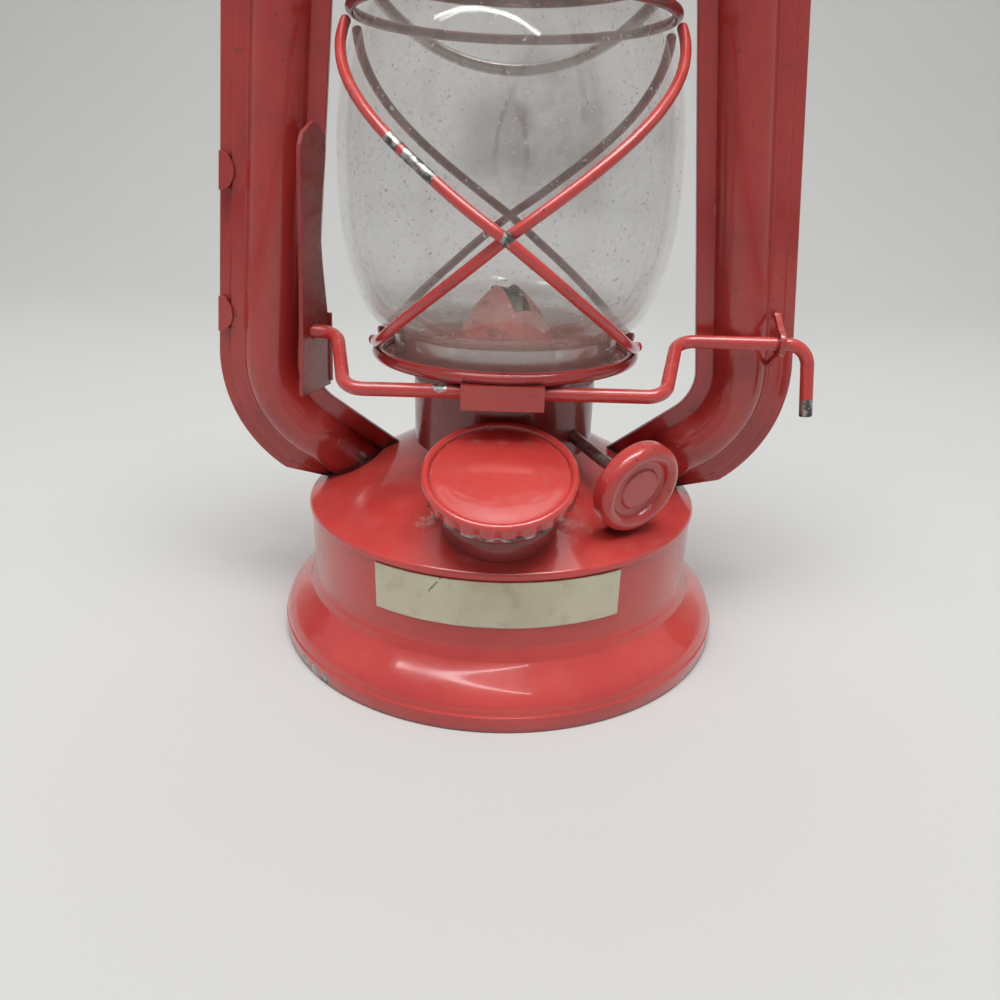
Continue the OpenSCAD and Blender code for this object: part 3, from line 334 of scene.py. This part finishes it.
def cotton():
    """Woven flat wick, oil stained, charred at the top."""
    s = Shade("wick_cotton", sheen_weight=0.3)
    char = s.ramp(s.math("ADD", s.axis("Z"), s.math("MULTIPLY", s.noise(600, 4), 0.003)), 0.0795, 0.083)
    oil = s.ramp(s.noise(120, 4), 0.35, 0.7)
    tone = s.mix(oil, (0.66, 0.58, 0.44), (0.5, 0.4, 0.26))
    s.set(base_color=s.mix(char, tone, (0.012, 0.01, 0.009)), roughness=s.ramp(oil, 0.0, 1.0, 0.95, 0.75))
    s.bump(s.noise(2200, 3), 0.08)
    return s.mat


def dusty(name):
    """Enamel inside the globe, faded by heat, under a coat of pale dust and soot, with painted shade in the
    crevices.
    """
    s = Shade(name)
    fade = s.ramp(s.noise(120, 5), 0.3, 0.7)
    colour = s.mix(fade, (0.62, 0.17, 0.14), (0.66, 0.34, 0.29))
    soot = s.math("MULTIPLY", s.ramp(s.noise(210, 7, 0.68), 0.5, 0.68), 0.75)
    # Soot patches and painted shade from ambient occlusion in the crevices both darken the colour.
    colour = s.mix(s.most(soot, s.math("MULTIPLY", s.occlusion_shade(4.0), 0.7)), colour, (0.05, 0.035, 0.03))
    s.set(base_color=colour, roughness=s.ramp(s.noise(300, 4), 0.3, 0.7, 0.5, 0.75))
    s.bump(s.noise(700, 5), 0.12)
    return s.mat


# Mesh tools: all lengths in millimetres, scaled once when a mesh is made
def piece(name, mesh, material, body, replaced=None):
    """A new mesh of the scene that rides on a body and stands for a node."""
    obj = bpy.data.objects.new(name, mesh)
    scene.collection.objects.link(obj)
    mesh.materials.append(material)
    for polygon in mesh.polygons:
        polygon.use_smooth = True
    even = obj.modifiers.new("even_normals", "WEIGHTED_NORMAL")
    even.mode = "FACE_AREA_WITH_ANGLE"
    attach(obj, body)
    if replaced:
        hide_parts(replaced)
    return obj


def to_mesh(name, bm):
    bmesh.ops.remove_doubles(bm, verts=bm.verts, dist=1e-4)
    bmesh.ops.recalc_face_normals(bm, faces=bm.faces)
    bmesh.ops.scale(bm, vec=(MM, MM, MM), verts=bm.verts)
    mesh = bpy.data.meshes.new(name)
    bm.to_mesh(mesh)
    bm.free()
    return mesh


def skin(bm, rings, closed=False):
    """Walls between rings of equally many points, with flat ends unless the rings close on themselves."""
    rows = [[bm.verts.new(p) for p in ring] for ring in rings]
    count = len(rows[0])
    pairs = list(zip(rows, rows[1:])) + ([(rows[-1], rows[0])] if closed else [])
    for a, b in pairs:
        for k in range(count):
            m = (k + 1) % count
            bm.faces.new((a[k], a[m], b[m], b[k]))
    if not closed:
        bm.faces.new(list(reversed(rows[0])))
        bm.faces.new(rows[-1])


def fillet(corners, steps=5):
    """A closed outline from (x, y, radius) corners, with an arc in place of each corner that has a radius."""
    out = []
    count = len(corners)
    for i, (x, y, r) in enumerate(corners):
        p = Vector((x, y))
        if r == 0:
            out.append(p)
            continue
        a = Vector(corners[i - 1][:2]) - p
        b = Vector(corners[(i + 1) % count][:2]) - p
        half = a.angle(b) / 2
        cut = min(r / math.tan(half), 0.49 * a.length, 0.49 * b.length)
        r = cut * math.tan(half)
        a, b = a.normalized(), b.normalized()
        mid = p + (a + b).normalized() * r / math.sin(half)
        start, end = p + a * cut - mid, p + b * cut - mid
        turn = start.angle(end)
        for k in range(steps + 1):
            t = k / steps
            out.append(mid + (start * math.sin(turn * (1 - t)) + end * math.sin(turn * t)) / math.sin(turn))
    return out


def lathe(bm, outline, place=Matrix(), sides=160, scallop=None):
    """Turns a closed outline of (radius, height) about Z, then puts it in place."""
    rings = []
    for k in range(sides):
        a = 2 * math.pi * k / sides
        ring = []
        for r, z in outline:
            if scallop:
                r = scallop(r, z, a)
            ring.append(place @ Vector((r * math.cos(a), r * math.sin(a), z)))
        rings.append(ring)
    skin(bm, rings, closed=True)


def bent(points, radius, steps=14):
    """A path with an arc in place of each inner corner."""
    out = [Vector(points[0])]
    for i in range(1, len(points) - 1):
        p = Vector(points[i])
        a = (Vector(points[i - 1]) - p).normalized()
        b = (Vector(points[i + 1]) - p).normalized()
        half = a.angle(b) / 2
        mid = p + (a + b).normalized() * radius / math.sin(half)
        start = p + a * radius / math.tan(half) - mid
        end = p + b * radius / math.tan(half) - mid
        turn = start.angle(end)
        for k in range(steps + 1):
            t = k / steps
            out.append(mid + (start * math.sin(turn * (1 - t)) + end * math.sin(turn * t)) / math.sin(turn))
    return out + [Vector(points[-1])]


END_TURNS = (0.0, 0.4, 0.8, 1.2)


def wire(bm, path, radius, sides=20, rounded=0.35):
    """A round wire along a path, with its ends rounded over the given length."""
    def end_ring(p, t, inward, a):
        return (p + inward * rounded * (1 - math.cos(a)), t, radius - rounded * (1 - math.sin(a)))

    path = [Vector(p) for p in path]
    last = len(path) - 1
    tangents = [(path[min(i + 1, last)] - path[max(i - 1, 0)]).normalized() for i in range(last + 1)]
    stations = [(p, t, radius) for p, t in zip(path, tangents)]
    head = [end_ring(path[0], tangents[0], tangents[0], a) for a in END_TURNS]
    tail = [end_ring(path[-1], tangents[-1], -tangents[-1], a) for a in reversed(END_TURNS)]
    stations = head + stations[1:-1] + tail
    normal = tangents[0].orthogonal().normalized()
    rings = []
    for p, t, r in stations:
        normal = (normal - normal.dot(t) * t).normalized()
        side = t.cross(normal)
        turns = [2 * math.pi * k / sides for k in range(sides)]
        rings.append([p + r * (normal * math.cos(a) + side * math.sin(a)) for a in turns])
    skin(bm, rings)


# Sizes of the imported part, in millimetres
SHEET = 0.8
TANK_R, BASE_R, LIP_R, LIP_Z, LIP_ROUND = 47.0, 55.0, 47.5, 32.16, 0.9
SLOPE = math.radians(28)
SHOULDER_R = LIP_R - LIP_ROUND * (1 - math.sin(SLOPE))
SHOULDER_Z = LIP_Z + LIP_ROUND * math.cos(SLOPE)
TANK_IN_R, SKIRT_IN_R, FLUE_R, TOP_WALL = 46.2, 54.2, 19, 0.9
CROWN_R, TUBE_TOP_Z = 29.1, 181.2
PLATE_Z, GLOBE_Z, GLOBE_H = 66.6, 67.4, 78.0
GLOBE_R, GLOBE_FOOT, GLOBE_MOUTH, GLOBE_EQ, FOOT_H = 37.3, 26.0, 26.5, 78 * 0.44, 6.0
GLASS = 1.8
PIVOT_Y, PIVOT_Z = -8.6, 72.6


def top_z(r):
    return SHOULDER_Z + (SHOULDER_R - r) * math.tan(SLOPE)


def tank_outline():
    outer = [(BASE_R, 0.05, 0), (BASE_R, 3.5, 0.25)]
    for i in range(41):
        t = i / 40
        outer.append((TANK_R + (BASE_R - 0.4 - TANK_R) * (1 + math.cos(math.pi * t)) / 2, 3.9 + 12.1 * t, 0))
    outer += [(TANK_R, LIP_Z - 1.2, 0.25), (LIP_R, LIP_Z - 0.7, 0.25)]
    outer += [(LIP_R, top_z(LIP_R), LIP_ROUND), (FLUE_R, top_z(FLUE_R), 0)]
    inner = [(FLUE_R, top_z(FLUE_R) - TOP_WALL, 0), (TANK_IN_R, top_z(TANK_IN_R) - TOP_WALL, 0)]
    inner += [(TANK_IN_R, 16, 0), (SKIRT_IN_R, 3.6, 0), (SKIRT_IN_R, 0.05, 0)]
    return fillet(outer + inner)


FILLER = Matrix.Translation((0, -33.7172, 40.0292)) @ Matrix.Rotation(math.radians(22), 4, "X")


def cap_outline():
    cap_r, neck_r, under, skirt = 16.065, 12.565, 10.55, 3.0
    top = under + SHEET
    dome_r = cap_r - 2.5
    bore_r = neck_r + 0.4
    corners = [(0, under, 0), (bore_r, under, 0), (bore_r, top - skirt, 0), (cap_r, top - skirt, 0.3)]
    turns = [math.pi * k / 16 for k in range(16)]
    corners += [(cap_r - 0.9 + 0.9 * math.cos(a), top + math.sin(a), 0) for a in turns]
    corners += [(cap_r - 1.8, top - 0.05, 0.3)]
    corners += [(dome_r * (1 - k / 14), top + 1.3 * (1 - (1 - k / 14) ** 2), 0) for k in range(15)]
    return fillet(corners)


SCALLOPS, SCALLOP_R, SCALLOP_AT, SCALLOP_TOP = 24, 1.2, 16.565, 10.6


def cap_scallop(r, z, a):
    """Hollows round the lower edge of the cap's skirt, and nothing higher up."""
    if r < 15.2 or z > SCALLOP_TOP:
        return r
    share = (a * SCALLOPS / (2 * math.pi) + 0.5) % 1 - 0.5
    across = SCALLOP_AT * 2 * math.sin(share * math.pi / SCALLOPS)
    depth = max(0.0, SCALLOP_R ** 2 - across ** 2)
    return r - max(0.0, math.sqrt(depth) - 0.5) * min(1.0, (SCALLOP_TOP - z) / 0.5)


def knob_outline():
    r, t = 10.2, 5.0
    corners = [(1.45, 0, 0), (3.6, 0, 0.2), (3.6, 0.6, 0.2), (r, 0.6, 0.9)]
    turns = [math.radians(170) * k / 18 for k in range(19)]
    corners += [(r - 1.8 + 1.8 * math.cos(a), t - 1.8 + 1.8 * math.sin(a), 0) for a in turns]
    corners += [(r - 4.1, t - 1.6, 0.5), (4.9, t - 1.6, 0.3), (4.4, t - 1.1, 0.3), (0, t - 1.1, 0)]
    corners += [(0, 2.05, 0), (1.45, 2.05, 0)]
    return fillet(corners)


SPINDLE = (Matrix.Rotation(math.radians(-56), 4, "Z") @ Matrix.Translation((0, 5.25, 55.9045))
           @ Matrix.Rotation(math.radians(12), 4, "Y") @ Matrix.Rotation(math.radians(90), 4, "Y"))


def globe_outline():
    def curve(t):
        low, high = [], []
        for k in range(29):
            a = math.pi / 2 * k / 28
            r = GLOBE_FOOT + (GLOBE_R - GLOBE_FOOT - t) * math.sin(a)
            low.append((r, GLOBE_EQ - (GLOBE_EQ - FOOT_H - t) * math.cos(a)))
        for k in range(1, 25):
            h = GLOBE_EQ + (GLOBE_H - GLOBE_EQ) * k / 24
            high.append((GLOBE_R - (GLOBE_R - GLOBE_MOUTH) * (k / 24) ** 2.6 - t, h))
        return low + high
    outer = [(GLOBE_FOOT, 0.05, 0.5), (GLOBE_FOOT, FOOT_H, 1.0)] + [(r, z, 0) for r, z in curve(0)[4:]]
    inner = [(GLOBE_FOOT - GLASS, 0.05, 0.5), (GLOBE_FOOT - GLASS, FOOT_H + GLASS, 0.9)]
    inner += [(r, z, 0) for r, z in curve(GLASS)[4:]]
    outer[-1] = (*outer[-1][:2], 0.6)
    inner[-1] = (*inner[-1][:2], 0.6)
    return [(p[0], p[1] + GLOBE_Z) for p in fillet(outer + inner[::-1])]


def hood_outline():
    brim, dome = 203.2, 208.2

    def curve(t):
        arc = [(0.5 * math.pi * k / 28) for k in range(29)]
        return [((26 - t) * math.cos(a), dome + (17 - t) * math.sin(a)) for a in arc]
    seat = [(15.7, 213.2), (17.3, 213.2)]
    inner = curve(SHEET)[::-1]
    low = [p for p in inner if p[0] > 17.3]
    high = [p for p in inner if p[0] < 15.7]
    outline = [(26, brim, 0.3)] + [(*p, 0) for p in curve(0)] + [(*p, 0) for p in high]
    outline += [(*p, 0) for p in seat] + [(*p, 0) for p in low] + [(26 - SHEET, brim, 0.3)]
    return fillet(outline)


# Air tubes: each half is a pressed channel with a round back, a raised band and a flat seam
TUBE_R, OUTER_SEAM, INNER_SEAM, BAND_H = 6.3, 6.0, 4.0, 1.7
LEAN, ENTRY = math.radians(6.4), math.radians(35)
LOW_C, LOW_R = (35.8069, 63.0966), 20.0
UP_R = 13.069
UP_C = (31.0, TUBE_TOP_Z - UP_R)


def chain(seam):
    """Outer side of a half: from the inner seam's edge, over the round back, to the outer seam's edge."""
    start = math.pi - math.asin(SHEET / TUBE_R)
    end = math.radians(16)
    corners = [(-TUBE_R - INNER_SEAM, 0.02, 0), (-TUBE_R - INNER_SEAM, SHEET, 0.35)]
    body = [start + (end - start) * k / 36 for k in range(37)]
    for k, a in enumerate(body):
        corners.append((TUBE_R * math.cos(a), TUBE_R * math.sin(a), 0.5 if k == 0 else 0))
    corners += [(TUBE_R + seam * 0.05, BAND_H, 0.25), (TUBE_R + seam * 0.5, BAND_H, 0.4)]
    corners += [(TUBE_R + seam * 0.6, SHEET, 0.4)]
    corners += [(TUBE_R + seam, SHEET, 0.35), (TUBE_R + seam, 0.02, 0)]
    return fillet(corners, 4)


def on_tank(p):
    """Carries a point along the tube's lower run to the slope of the tank."""
    s, c, q = math.sin(ENTRY), math.cos(ENTRY), math.tan(SLOPE)
    d = top_z(0) + 0.1 - p.z
    qa = s * s - q * q * c * c
    qb = 2 * (s * d + q * q * p.x * c)
    qc = d * d - q * q * (p.x ** 2 + p.y ** 2)
    t = (-qb + math.sqrt(qb * qb - 4 * qa * qc)) / (2 * qa)
    return Vector((p.x - t * c, p.y, p.z - t * s))


def on_crown(p):
    """Carries a point along the tube's upper run to the wall of the crown."""
    return Vector((math.sqrt(CROWN_R ** 2 - p.y ** 2), p.y, p.z))


def tube_half(bm, side, front):
    def ring(at, a, seam=OUTER_SEAM):
        c, s = math.cos(a), math.sin(a)
        return [Vector((at[0] + u * c, -front * v, at[1] + u * s)) for u, v in chain(seam)]

    def bend(c, r, a):
        return (c[0] + r * math.cos(a), c[1] + r * math.sin(a))
    low = ENTRY - math.pi / 2
    first = bend(LOW_C, LOW_R, low)
    rings = [[on_tank(p) for p in ring(first, low, OUTER_SEAM * 0.3)]]
    rings += [ring(bend(LOW_C, LOW_R, a), a) for a in (low + (LEAN - low) * k / 26 for k in range(27))]
    rings += [ring(bend(UP_C, UP_R, a), a) for a in (LEAN + (math.pi / 2 - LEAN) * k / 24 for k in range(25))]
    rings += [[on_crown(p) for p in ring((UP_C[0], TUBE_TOP_Z), math.pi / 2)]]
    skin(bm, [[Vector((side * p.x, p.y, p.z)) for p in r] for r in rings])


# Guard wires, crossed in front and behind, one rising over the other
PLATE_R, OVER_REACH, OVER_RISE = 29.75, 26, 2.3


def guard_path(hand):
    path = []
    low, cross, high, end = 3.1, 28.5, 66.8, 80
    for i in range(121):
        a = end * (i / 60 - 1)
        share = max(0.0, 1 + math.sin(math.radians(a)) / math.sin(math.radians(end)))
        h = low + (cross - low) * share ** 1.25 if a < 0 else cross + (high - cross) * a / end
        if h < GLOBE_EQ:
            r = GLOBE_R - (GLOBE_R - GLOBE_FOOT) * ((GLOBE_EQ - h) / GLOBE_EQ) ** 3
        else:
            r = GLOBE_R - (GLOBE_R - GLOBE_MOUTH) * ((h - GLOBE_EQ) / (GLOBE_H - GLOBE_EQ)) ** 2.6
        r = max(r, PLATE_R * (-a / end) ** 6 if a < 0 else 0) + 1.6
        if hand < 0 and abs(a) < OVER_REACH:
            r += OVER_RISE * (1 + math.cos(math.pi * a / OVER_REACH)) / 2
        path.append((hand * r * math.sin(math.radians(a)), -r * math.cos(math.radians(a)), GLOBE_Z + h))
    return path


BAR_Y, BAR_Z = -27.6, 64.65
LIFT_PATH = [
    (-45.8245, PIVOT_Y, PIVOT_Z), (-37.8245, PIVOT_Y, PIVOT_Z), (-33, BAR_Y, BAR_Z), (33.5, BAR_Y, BAR_Z),
    (38.5, PIVOT_Y, PIVOT_Z), (67.8663, PIVOT_Y, PIVOT_Z), (69.3663, -10.6, 56.6),
]
BAIL_R, BAIL_LEG, BAIL_PIVOT_Z = 41.5, 38, 198.854
BAIL_TILT = math.asin((GLOBE_R + 1.5 + 2.2) / (BAIL_LEG + BAIL_R))


def bail_path():
    leg = bent([(35, 0, 0), (BAIL_R, 0, 0), (BAIL_R, 0, -BAIL_LEG)], 2.2, 8)[:-1]
    turns = [math.pi * k / 64 for k in range(65)]
    arch = [Vector((BAIL_R * math.cos(a), 0, -BAIL_LEG - BAIL_R * math.sin(a))) for a in turns]
    path = leg + arch + [Vector((-p.x, p.y, p.z)) for p in leg[::-1]]
    place = Matrix.Translation((0, 0, BAIL_PIVOT_Z)) @ Matrix.Rotation(BAIL_TILT, 4, "X")
    return [place @ p for p in path]


def ring_path():
    foot_z, ring_r, cut = 226.7, 9, math.radians(18)
    middle = foot_z + ring_r * math.cos(cut)
    turns = [-math.pi / 2 + cut + (2 * math.pi - 2 * cut) * k / 64 for k in range(2, 63)]
    arc = [(ring_r * math.cos(a), 0, middle + ring_r * math.sin(a)) for a in turns]
    foot = [(0.02, 0, foot_z), (3.6, 0, foot_z), (4.1, 0, 226.75)]
    return foot + arc + [(-x, y, z) for x, y, z in foot[::-1]]


def spring_path():
    low, high = 145.4 + SHEET + 0.65, 201.2 - SHEET - 0.65
    coil_r, count = 18.1, 320
    path = []
    for k in range(count + 1):
        a = math.pi * k / 20
        path.append((coil_r * math.cos(a), coil_r * math.sin(a), low + (high - low) * k / count))
    return path


# Looks of the nodes that keep their own shape
plain = enamel("enamel")
# The air tubes are toned down as painted shade; their chips are wear.
tubes = enamel("enamel_tubes", wear=0.25, grime=0.22, tone=0.72,
               chips=[((-34, -6, 42.5), 3.5), ((38, -6, 41), 3)])
bare_wire = [((-20.5, -32.8, 111.2), 4.5), ((-17, -34.9, 108.4), 5.5), ((-14, -36.4, 106), 4.5),
             ((0, -41, 95.9), 3.5)]
front_wires = enamel("enamel_front_wires", grime=0.35, chips=bare_wire)
# The rear wires and the guard ring: a darker, shaded copy of the wire enamel, painted shade.
rear_wires = enamel("enamel_rear_wires", grime=0.6, painted_shade=0.8)
looks = {
    "tank_bottom": enamel("enamel_bottom", grime=0.5),
    # Painted shade under the cap: the neck is darkened and toned down.
    "filler_neck": enamel("enamel_neck", grime=0.7, painted_shade=0.6, tone=0.8),
    "cap_gasket": cork(),
    "fill_label": paper(),
    "seam_clips": tubes,
    # Painted shade: the lift bracket is darkened and toned down.
    "lift_bracket": enamel("enamel_bracket", grime=0.3, painted_shade=0.15, tone=0.6),
    "lift_staple": enamel("enamel_staple", wear=0.5, grime=0.3, tone=0.8),
    "burner_base": steel("steel_burner"),
    # Painted shade under the globe plate: the collar is darkened and toned down.
    "burner_collar": enamel("enamel_collar", grime=0.5, painted_shade=0.35, tone=0.6),
    "burner_cone": dusty("dusty_enamel"),
    "wick_tube": brass(),
    "wick_wheel": steel("steel_wheel", 0.5),
    "wick_spindle": steel("steel_spindle", 0.9),
    "globe_plate": enamel("enamel_plate", grime=0.35, dust=1.0, dust_colour=(0.62, 0.53, 0.48), dust_reach=26.5,
                          tone=0.85),
    "guard_ring": rear_wires,
}
for name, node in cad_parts.items():
    node.data.materials.clear()
    node.data.materials.append(looks.get(name, plain))
for name in ("seam_clips", "lift_bracket", "lift_staple", "bail_ears", "hood_eye", "globe_plate"):
    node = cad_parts[name]
    weld = node.modifiers.new("weld", "WELD")
    weld.merge_threshold = 0.00002
    soft = node.modifiers.new("soft_edges", "BEVEL")
    soft.width = 0.0002
    soft.segments = 3
    soft.limit_method = "ANGLE"
    soft.angle_limit = math.radians(40)
    soft.harden_normals = True


# New pieces in place of nodes whose curves need more detail
def turned(name, outline, material, body, place=Matrix(), sides=160, scallop=None):
    bm = bmesh.new()
    lathe(bm, outline, place, sides, scallop)
    return piece("fine_" + name, to_mesh("fine_" + name, bm), material, body, name)


def drawn(name, paths, radius, material, body, sides=20):
    bm = bmesh.new()
    for path in paths:
        wire(bm, path, radius, sides)
    return piece("fine_" + name, to_mesh("fine_" + name, bm), material, body, name)


tank_look = enamel("enamel_tank", grime=0.12, dust=0.10,
                   chips=[((-44, -33, 1), 3.5), ((-41, -36.5, 1.2), 3.5), ((-38, -39.5, 0.8), 3),
                          ((50, -22, 2), 3)],
                   scuffs=[((-15, -33, 38), 6), ((13, -33, 38), 8)])
turned("tank_shell", tank_outline(), tank_look, "frame", sides=224)
cap_look = enamel("enamel_cap", wear=0.6, grime=0.12, dust=0.08,
                  rim=(FILLER.translation, FILLER.col[2][:3], 8.3, SCALLOP_TOP))
turned("filler_cap", cap_outline(), cap_look, "cap", FILLER, 192, cap_scallop)
turned("wick_knob", knob_outline(), enamel("enamel_knob", wear=0.2, grime=0.3), "wick_raiser",
       SPINDLE @ Matrix.Translation((0, 0, 41.5)), 128)
turned("globe", globe_outline(), glass(), "carriage", sides=192)
turned("hood", hood_outline(), plain, "hood_body", sides=160)
for side, word in ((-1, "left"), (1, "right")):
    for front, half in ((1, "front"), (-1, "rear")):
        bm = bmesh.new()
        tube_half(bm, side, front)
        name = word + "_tube_" + half
        piece("fine_" + name, to_mesh("fine_" + name, bm), tubes, "frame", name)

lift_look = enamel("enamel_lift", grime=0.2, chips=[((-13, -28.5, 66), 3.5)],
                   bare=((69.2, -10.4, 60.5), (0.1, -0.13, -1)))
drawn("lift_wire", [bent(LIFT_PATH, 5)], 1.5, lift_look, "lift")
front_paths = [guard_path(1), guard_path(-1)]
drawn("front_guard", front_paths, 1.1, front_wires, "carriage", 16)
rear_paths = [[(-x, -y, z) for x, y, z in path] for path in front_paths]
drawn("rear_guard", rear_paths, 1.1, rear_wires, "carriage", 16)
drawn("hood_ring", [ring_path()], 1.0, steel("steel_ring"), "finger_ring_body")
drawn("bail", [bail_path()], 1.5, steel("steel_bail"), "bail_body")
spring = drawn("hood_spring", [spring_path()], 0.6, steel("steel_spring"), "frame", 10)
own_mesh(spring)


# Wick: a woven tape with ribs across its width
WICK_TURN = math.radians(-56)
WICK_W, WICK_T, WICK_LOW, WICK_TOP = 12.0, 2.2, 12.8, 82.0


def wick_loop(z, shrink):
    loop = []
    for k in range(48):
        a = 2 * math.pi * k / 48
        c, s = math.cos(a), math.sin(a)
        x = math.copysign(abs(c) ** 0.25, c) * (WICK_W / 2 - 0.1 - shrink)
        rib = 0.09 * math.cos(2 * math.pi * x / 1.1) * math.cos(math.pi * z / 0.55)
        y = math.copysign(abs(s) ** 0.6, s) * (WICK_T / 2 - 0.12 - shrink / 3 + rib)
        loop.append(Matrix.Rotation(WICK_TURN, 3, "Z") @ Vector((x, y, z)))
    return loop


steps = int((WICK_TOP - WICK_LOW) / 0.275)
bm = bmesh.new()
loops = []
for i in range(steps + 1):
    loops.append(wick_loop(WICK_LOW + (WICK_TOP - WICK_LOW) * i / steps, 0.5 if i in (0, steps) else 0.0))
skin(bm, loops)
piece("woven_wick", to_mesh("woven_wick", bm), cotton(), "wick_body", "wick")


# Stage: a pale sheet that runs up behind the lantern
def matte(name, colour, rough):
    s = Shade(name, roughness=rough)
    tone = s.ramp(s.noise(3, 3), 0.3, 0.7, 0.0, 0.35)
    s.set(base_color=s.mix(tone, colour, tuple(0.94 * c for c in colour)))
    s.bump(s.noise(900, 2), 0.05, 0.3)
    return s.mat


def sweep():
    bend = [math.radians(a) for a in range(0, 91, 6)]
    far, start, r = 3.0, 0.5, 0.35
    profile = [(-far, 0.0)] + [(start + r * math.sin(a), r - r * math.cos(a)) for a in bend]
    profile.append((start + r, far))
    bm = bmesh.new()
    rows = [[bm.verts.new((x, y, z - 0.0001)) for x in (-far, far)] for y, z in profile]
    for a, b in zip(rows, rows[1:]):
        bm.faces.new((a[0], a[1], b[1], b[0]))
    mesh = bpy.data.meshes.new("floor")
    bm.to_mesh(mesh)
    bm.free()
    for polygon in mesh.polygons:
        polygon.use_smooth = True
    obj = bpy.data.objects.new("floor", mesh)
    mesh.materials.append(matte("pale_sheet", (0.585, 0.585, 0.57), 0.9))
    scene.collection.objects.link(obj)


sweep()


def area(name, at, aim, size, watts, colour=(1, 1, 1)):
    lamp = bpy.data.lights.new(name, "AREA")
    lamp.shape = "RECTANGLE"
    lamp.size, lamp.size_y = size
    lamp.energy = watts
    lamp.color = colour
    obj = bpy.data.objects.new(name, lamp)
    obj.location = at
    obj.rotation_euler = (Vector(aim) - Vector(at)).to_track_quat("-Z", "Y").to_euler()
    scene.collection.objects.link(obj)


area("overhead", (0, -0.34, 1.34), (0, 0, 0.05), (1.3, 0.6), 19)
area("rear", (0.1, 0.15, 1.35), (0, 0.1, 0.05), (1.3, 0.8), 4)
area("strip", (-0.35, -0.92, 1.2), (0, 0, 0.05), (1.7, 0.035), 2.6)

world = bpy.data.worlds.new("room")
scene.world = world
world.use_nodes = True
sky = world.node_tree
place = sky.nodes.new("ShaderNodeTexCoord")
split = sky.nodes.new("ShaderNodeSeparateXYZ")
sky.links.new(place.outputs["Generated"], split.inputs[0])
shade = sky.nodes.new("ShaderNodeMapRange")
shade.interpolation_type = "SMOOTHSTEP"
for socket, value in (("From Min", -0.9), ("From Max", 0.5), ("To Min", 0.06), ("To Max", 0.16)):
    shade.inputs[socket].default_value = value
sky.links.new(split.outputs["Y"], shade.inputs["Value"])
sky.nodes["Background"].inputs["Color"].default_value = (0.93, 0.95, 0.98, 1)

# Seen straight on, in metal or through glass, the room is as pale as the sheet
path = sky.nodes.new("ShaderNodeLightPath")
seen = path.outputs["Is Camera Ray"]
for ray in ("Is Glossy Ray", "Is Transmission Ray"):
    either = sky.nodes.new("ShaderNodeMath")
    either.operation = "MAXIMUM"
    sky.links.new(seen, either.inputs[0])
    sky.links.new(path.outputs[ray], either.inputs[1])
    seen = either.outputs[0]
strength = sky.nodes.new("ShaderNodeMix")
sky.links.new(seen, strength.inputs["Factor"])
sky.links.new(shade.outputs["Result"], strength.inputs[2])
strength.inputs[3].default_value = 0.5
sky.links.new(strength.outputs[0], sky.nodes["Background"].inputs["Strength"])
scene.view_settings.view_transform = "Standard"
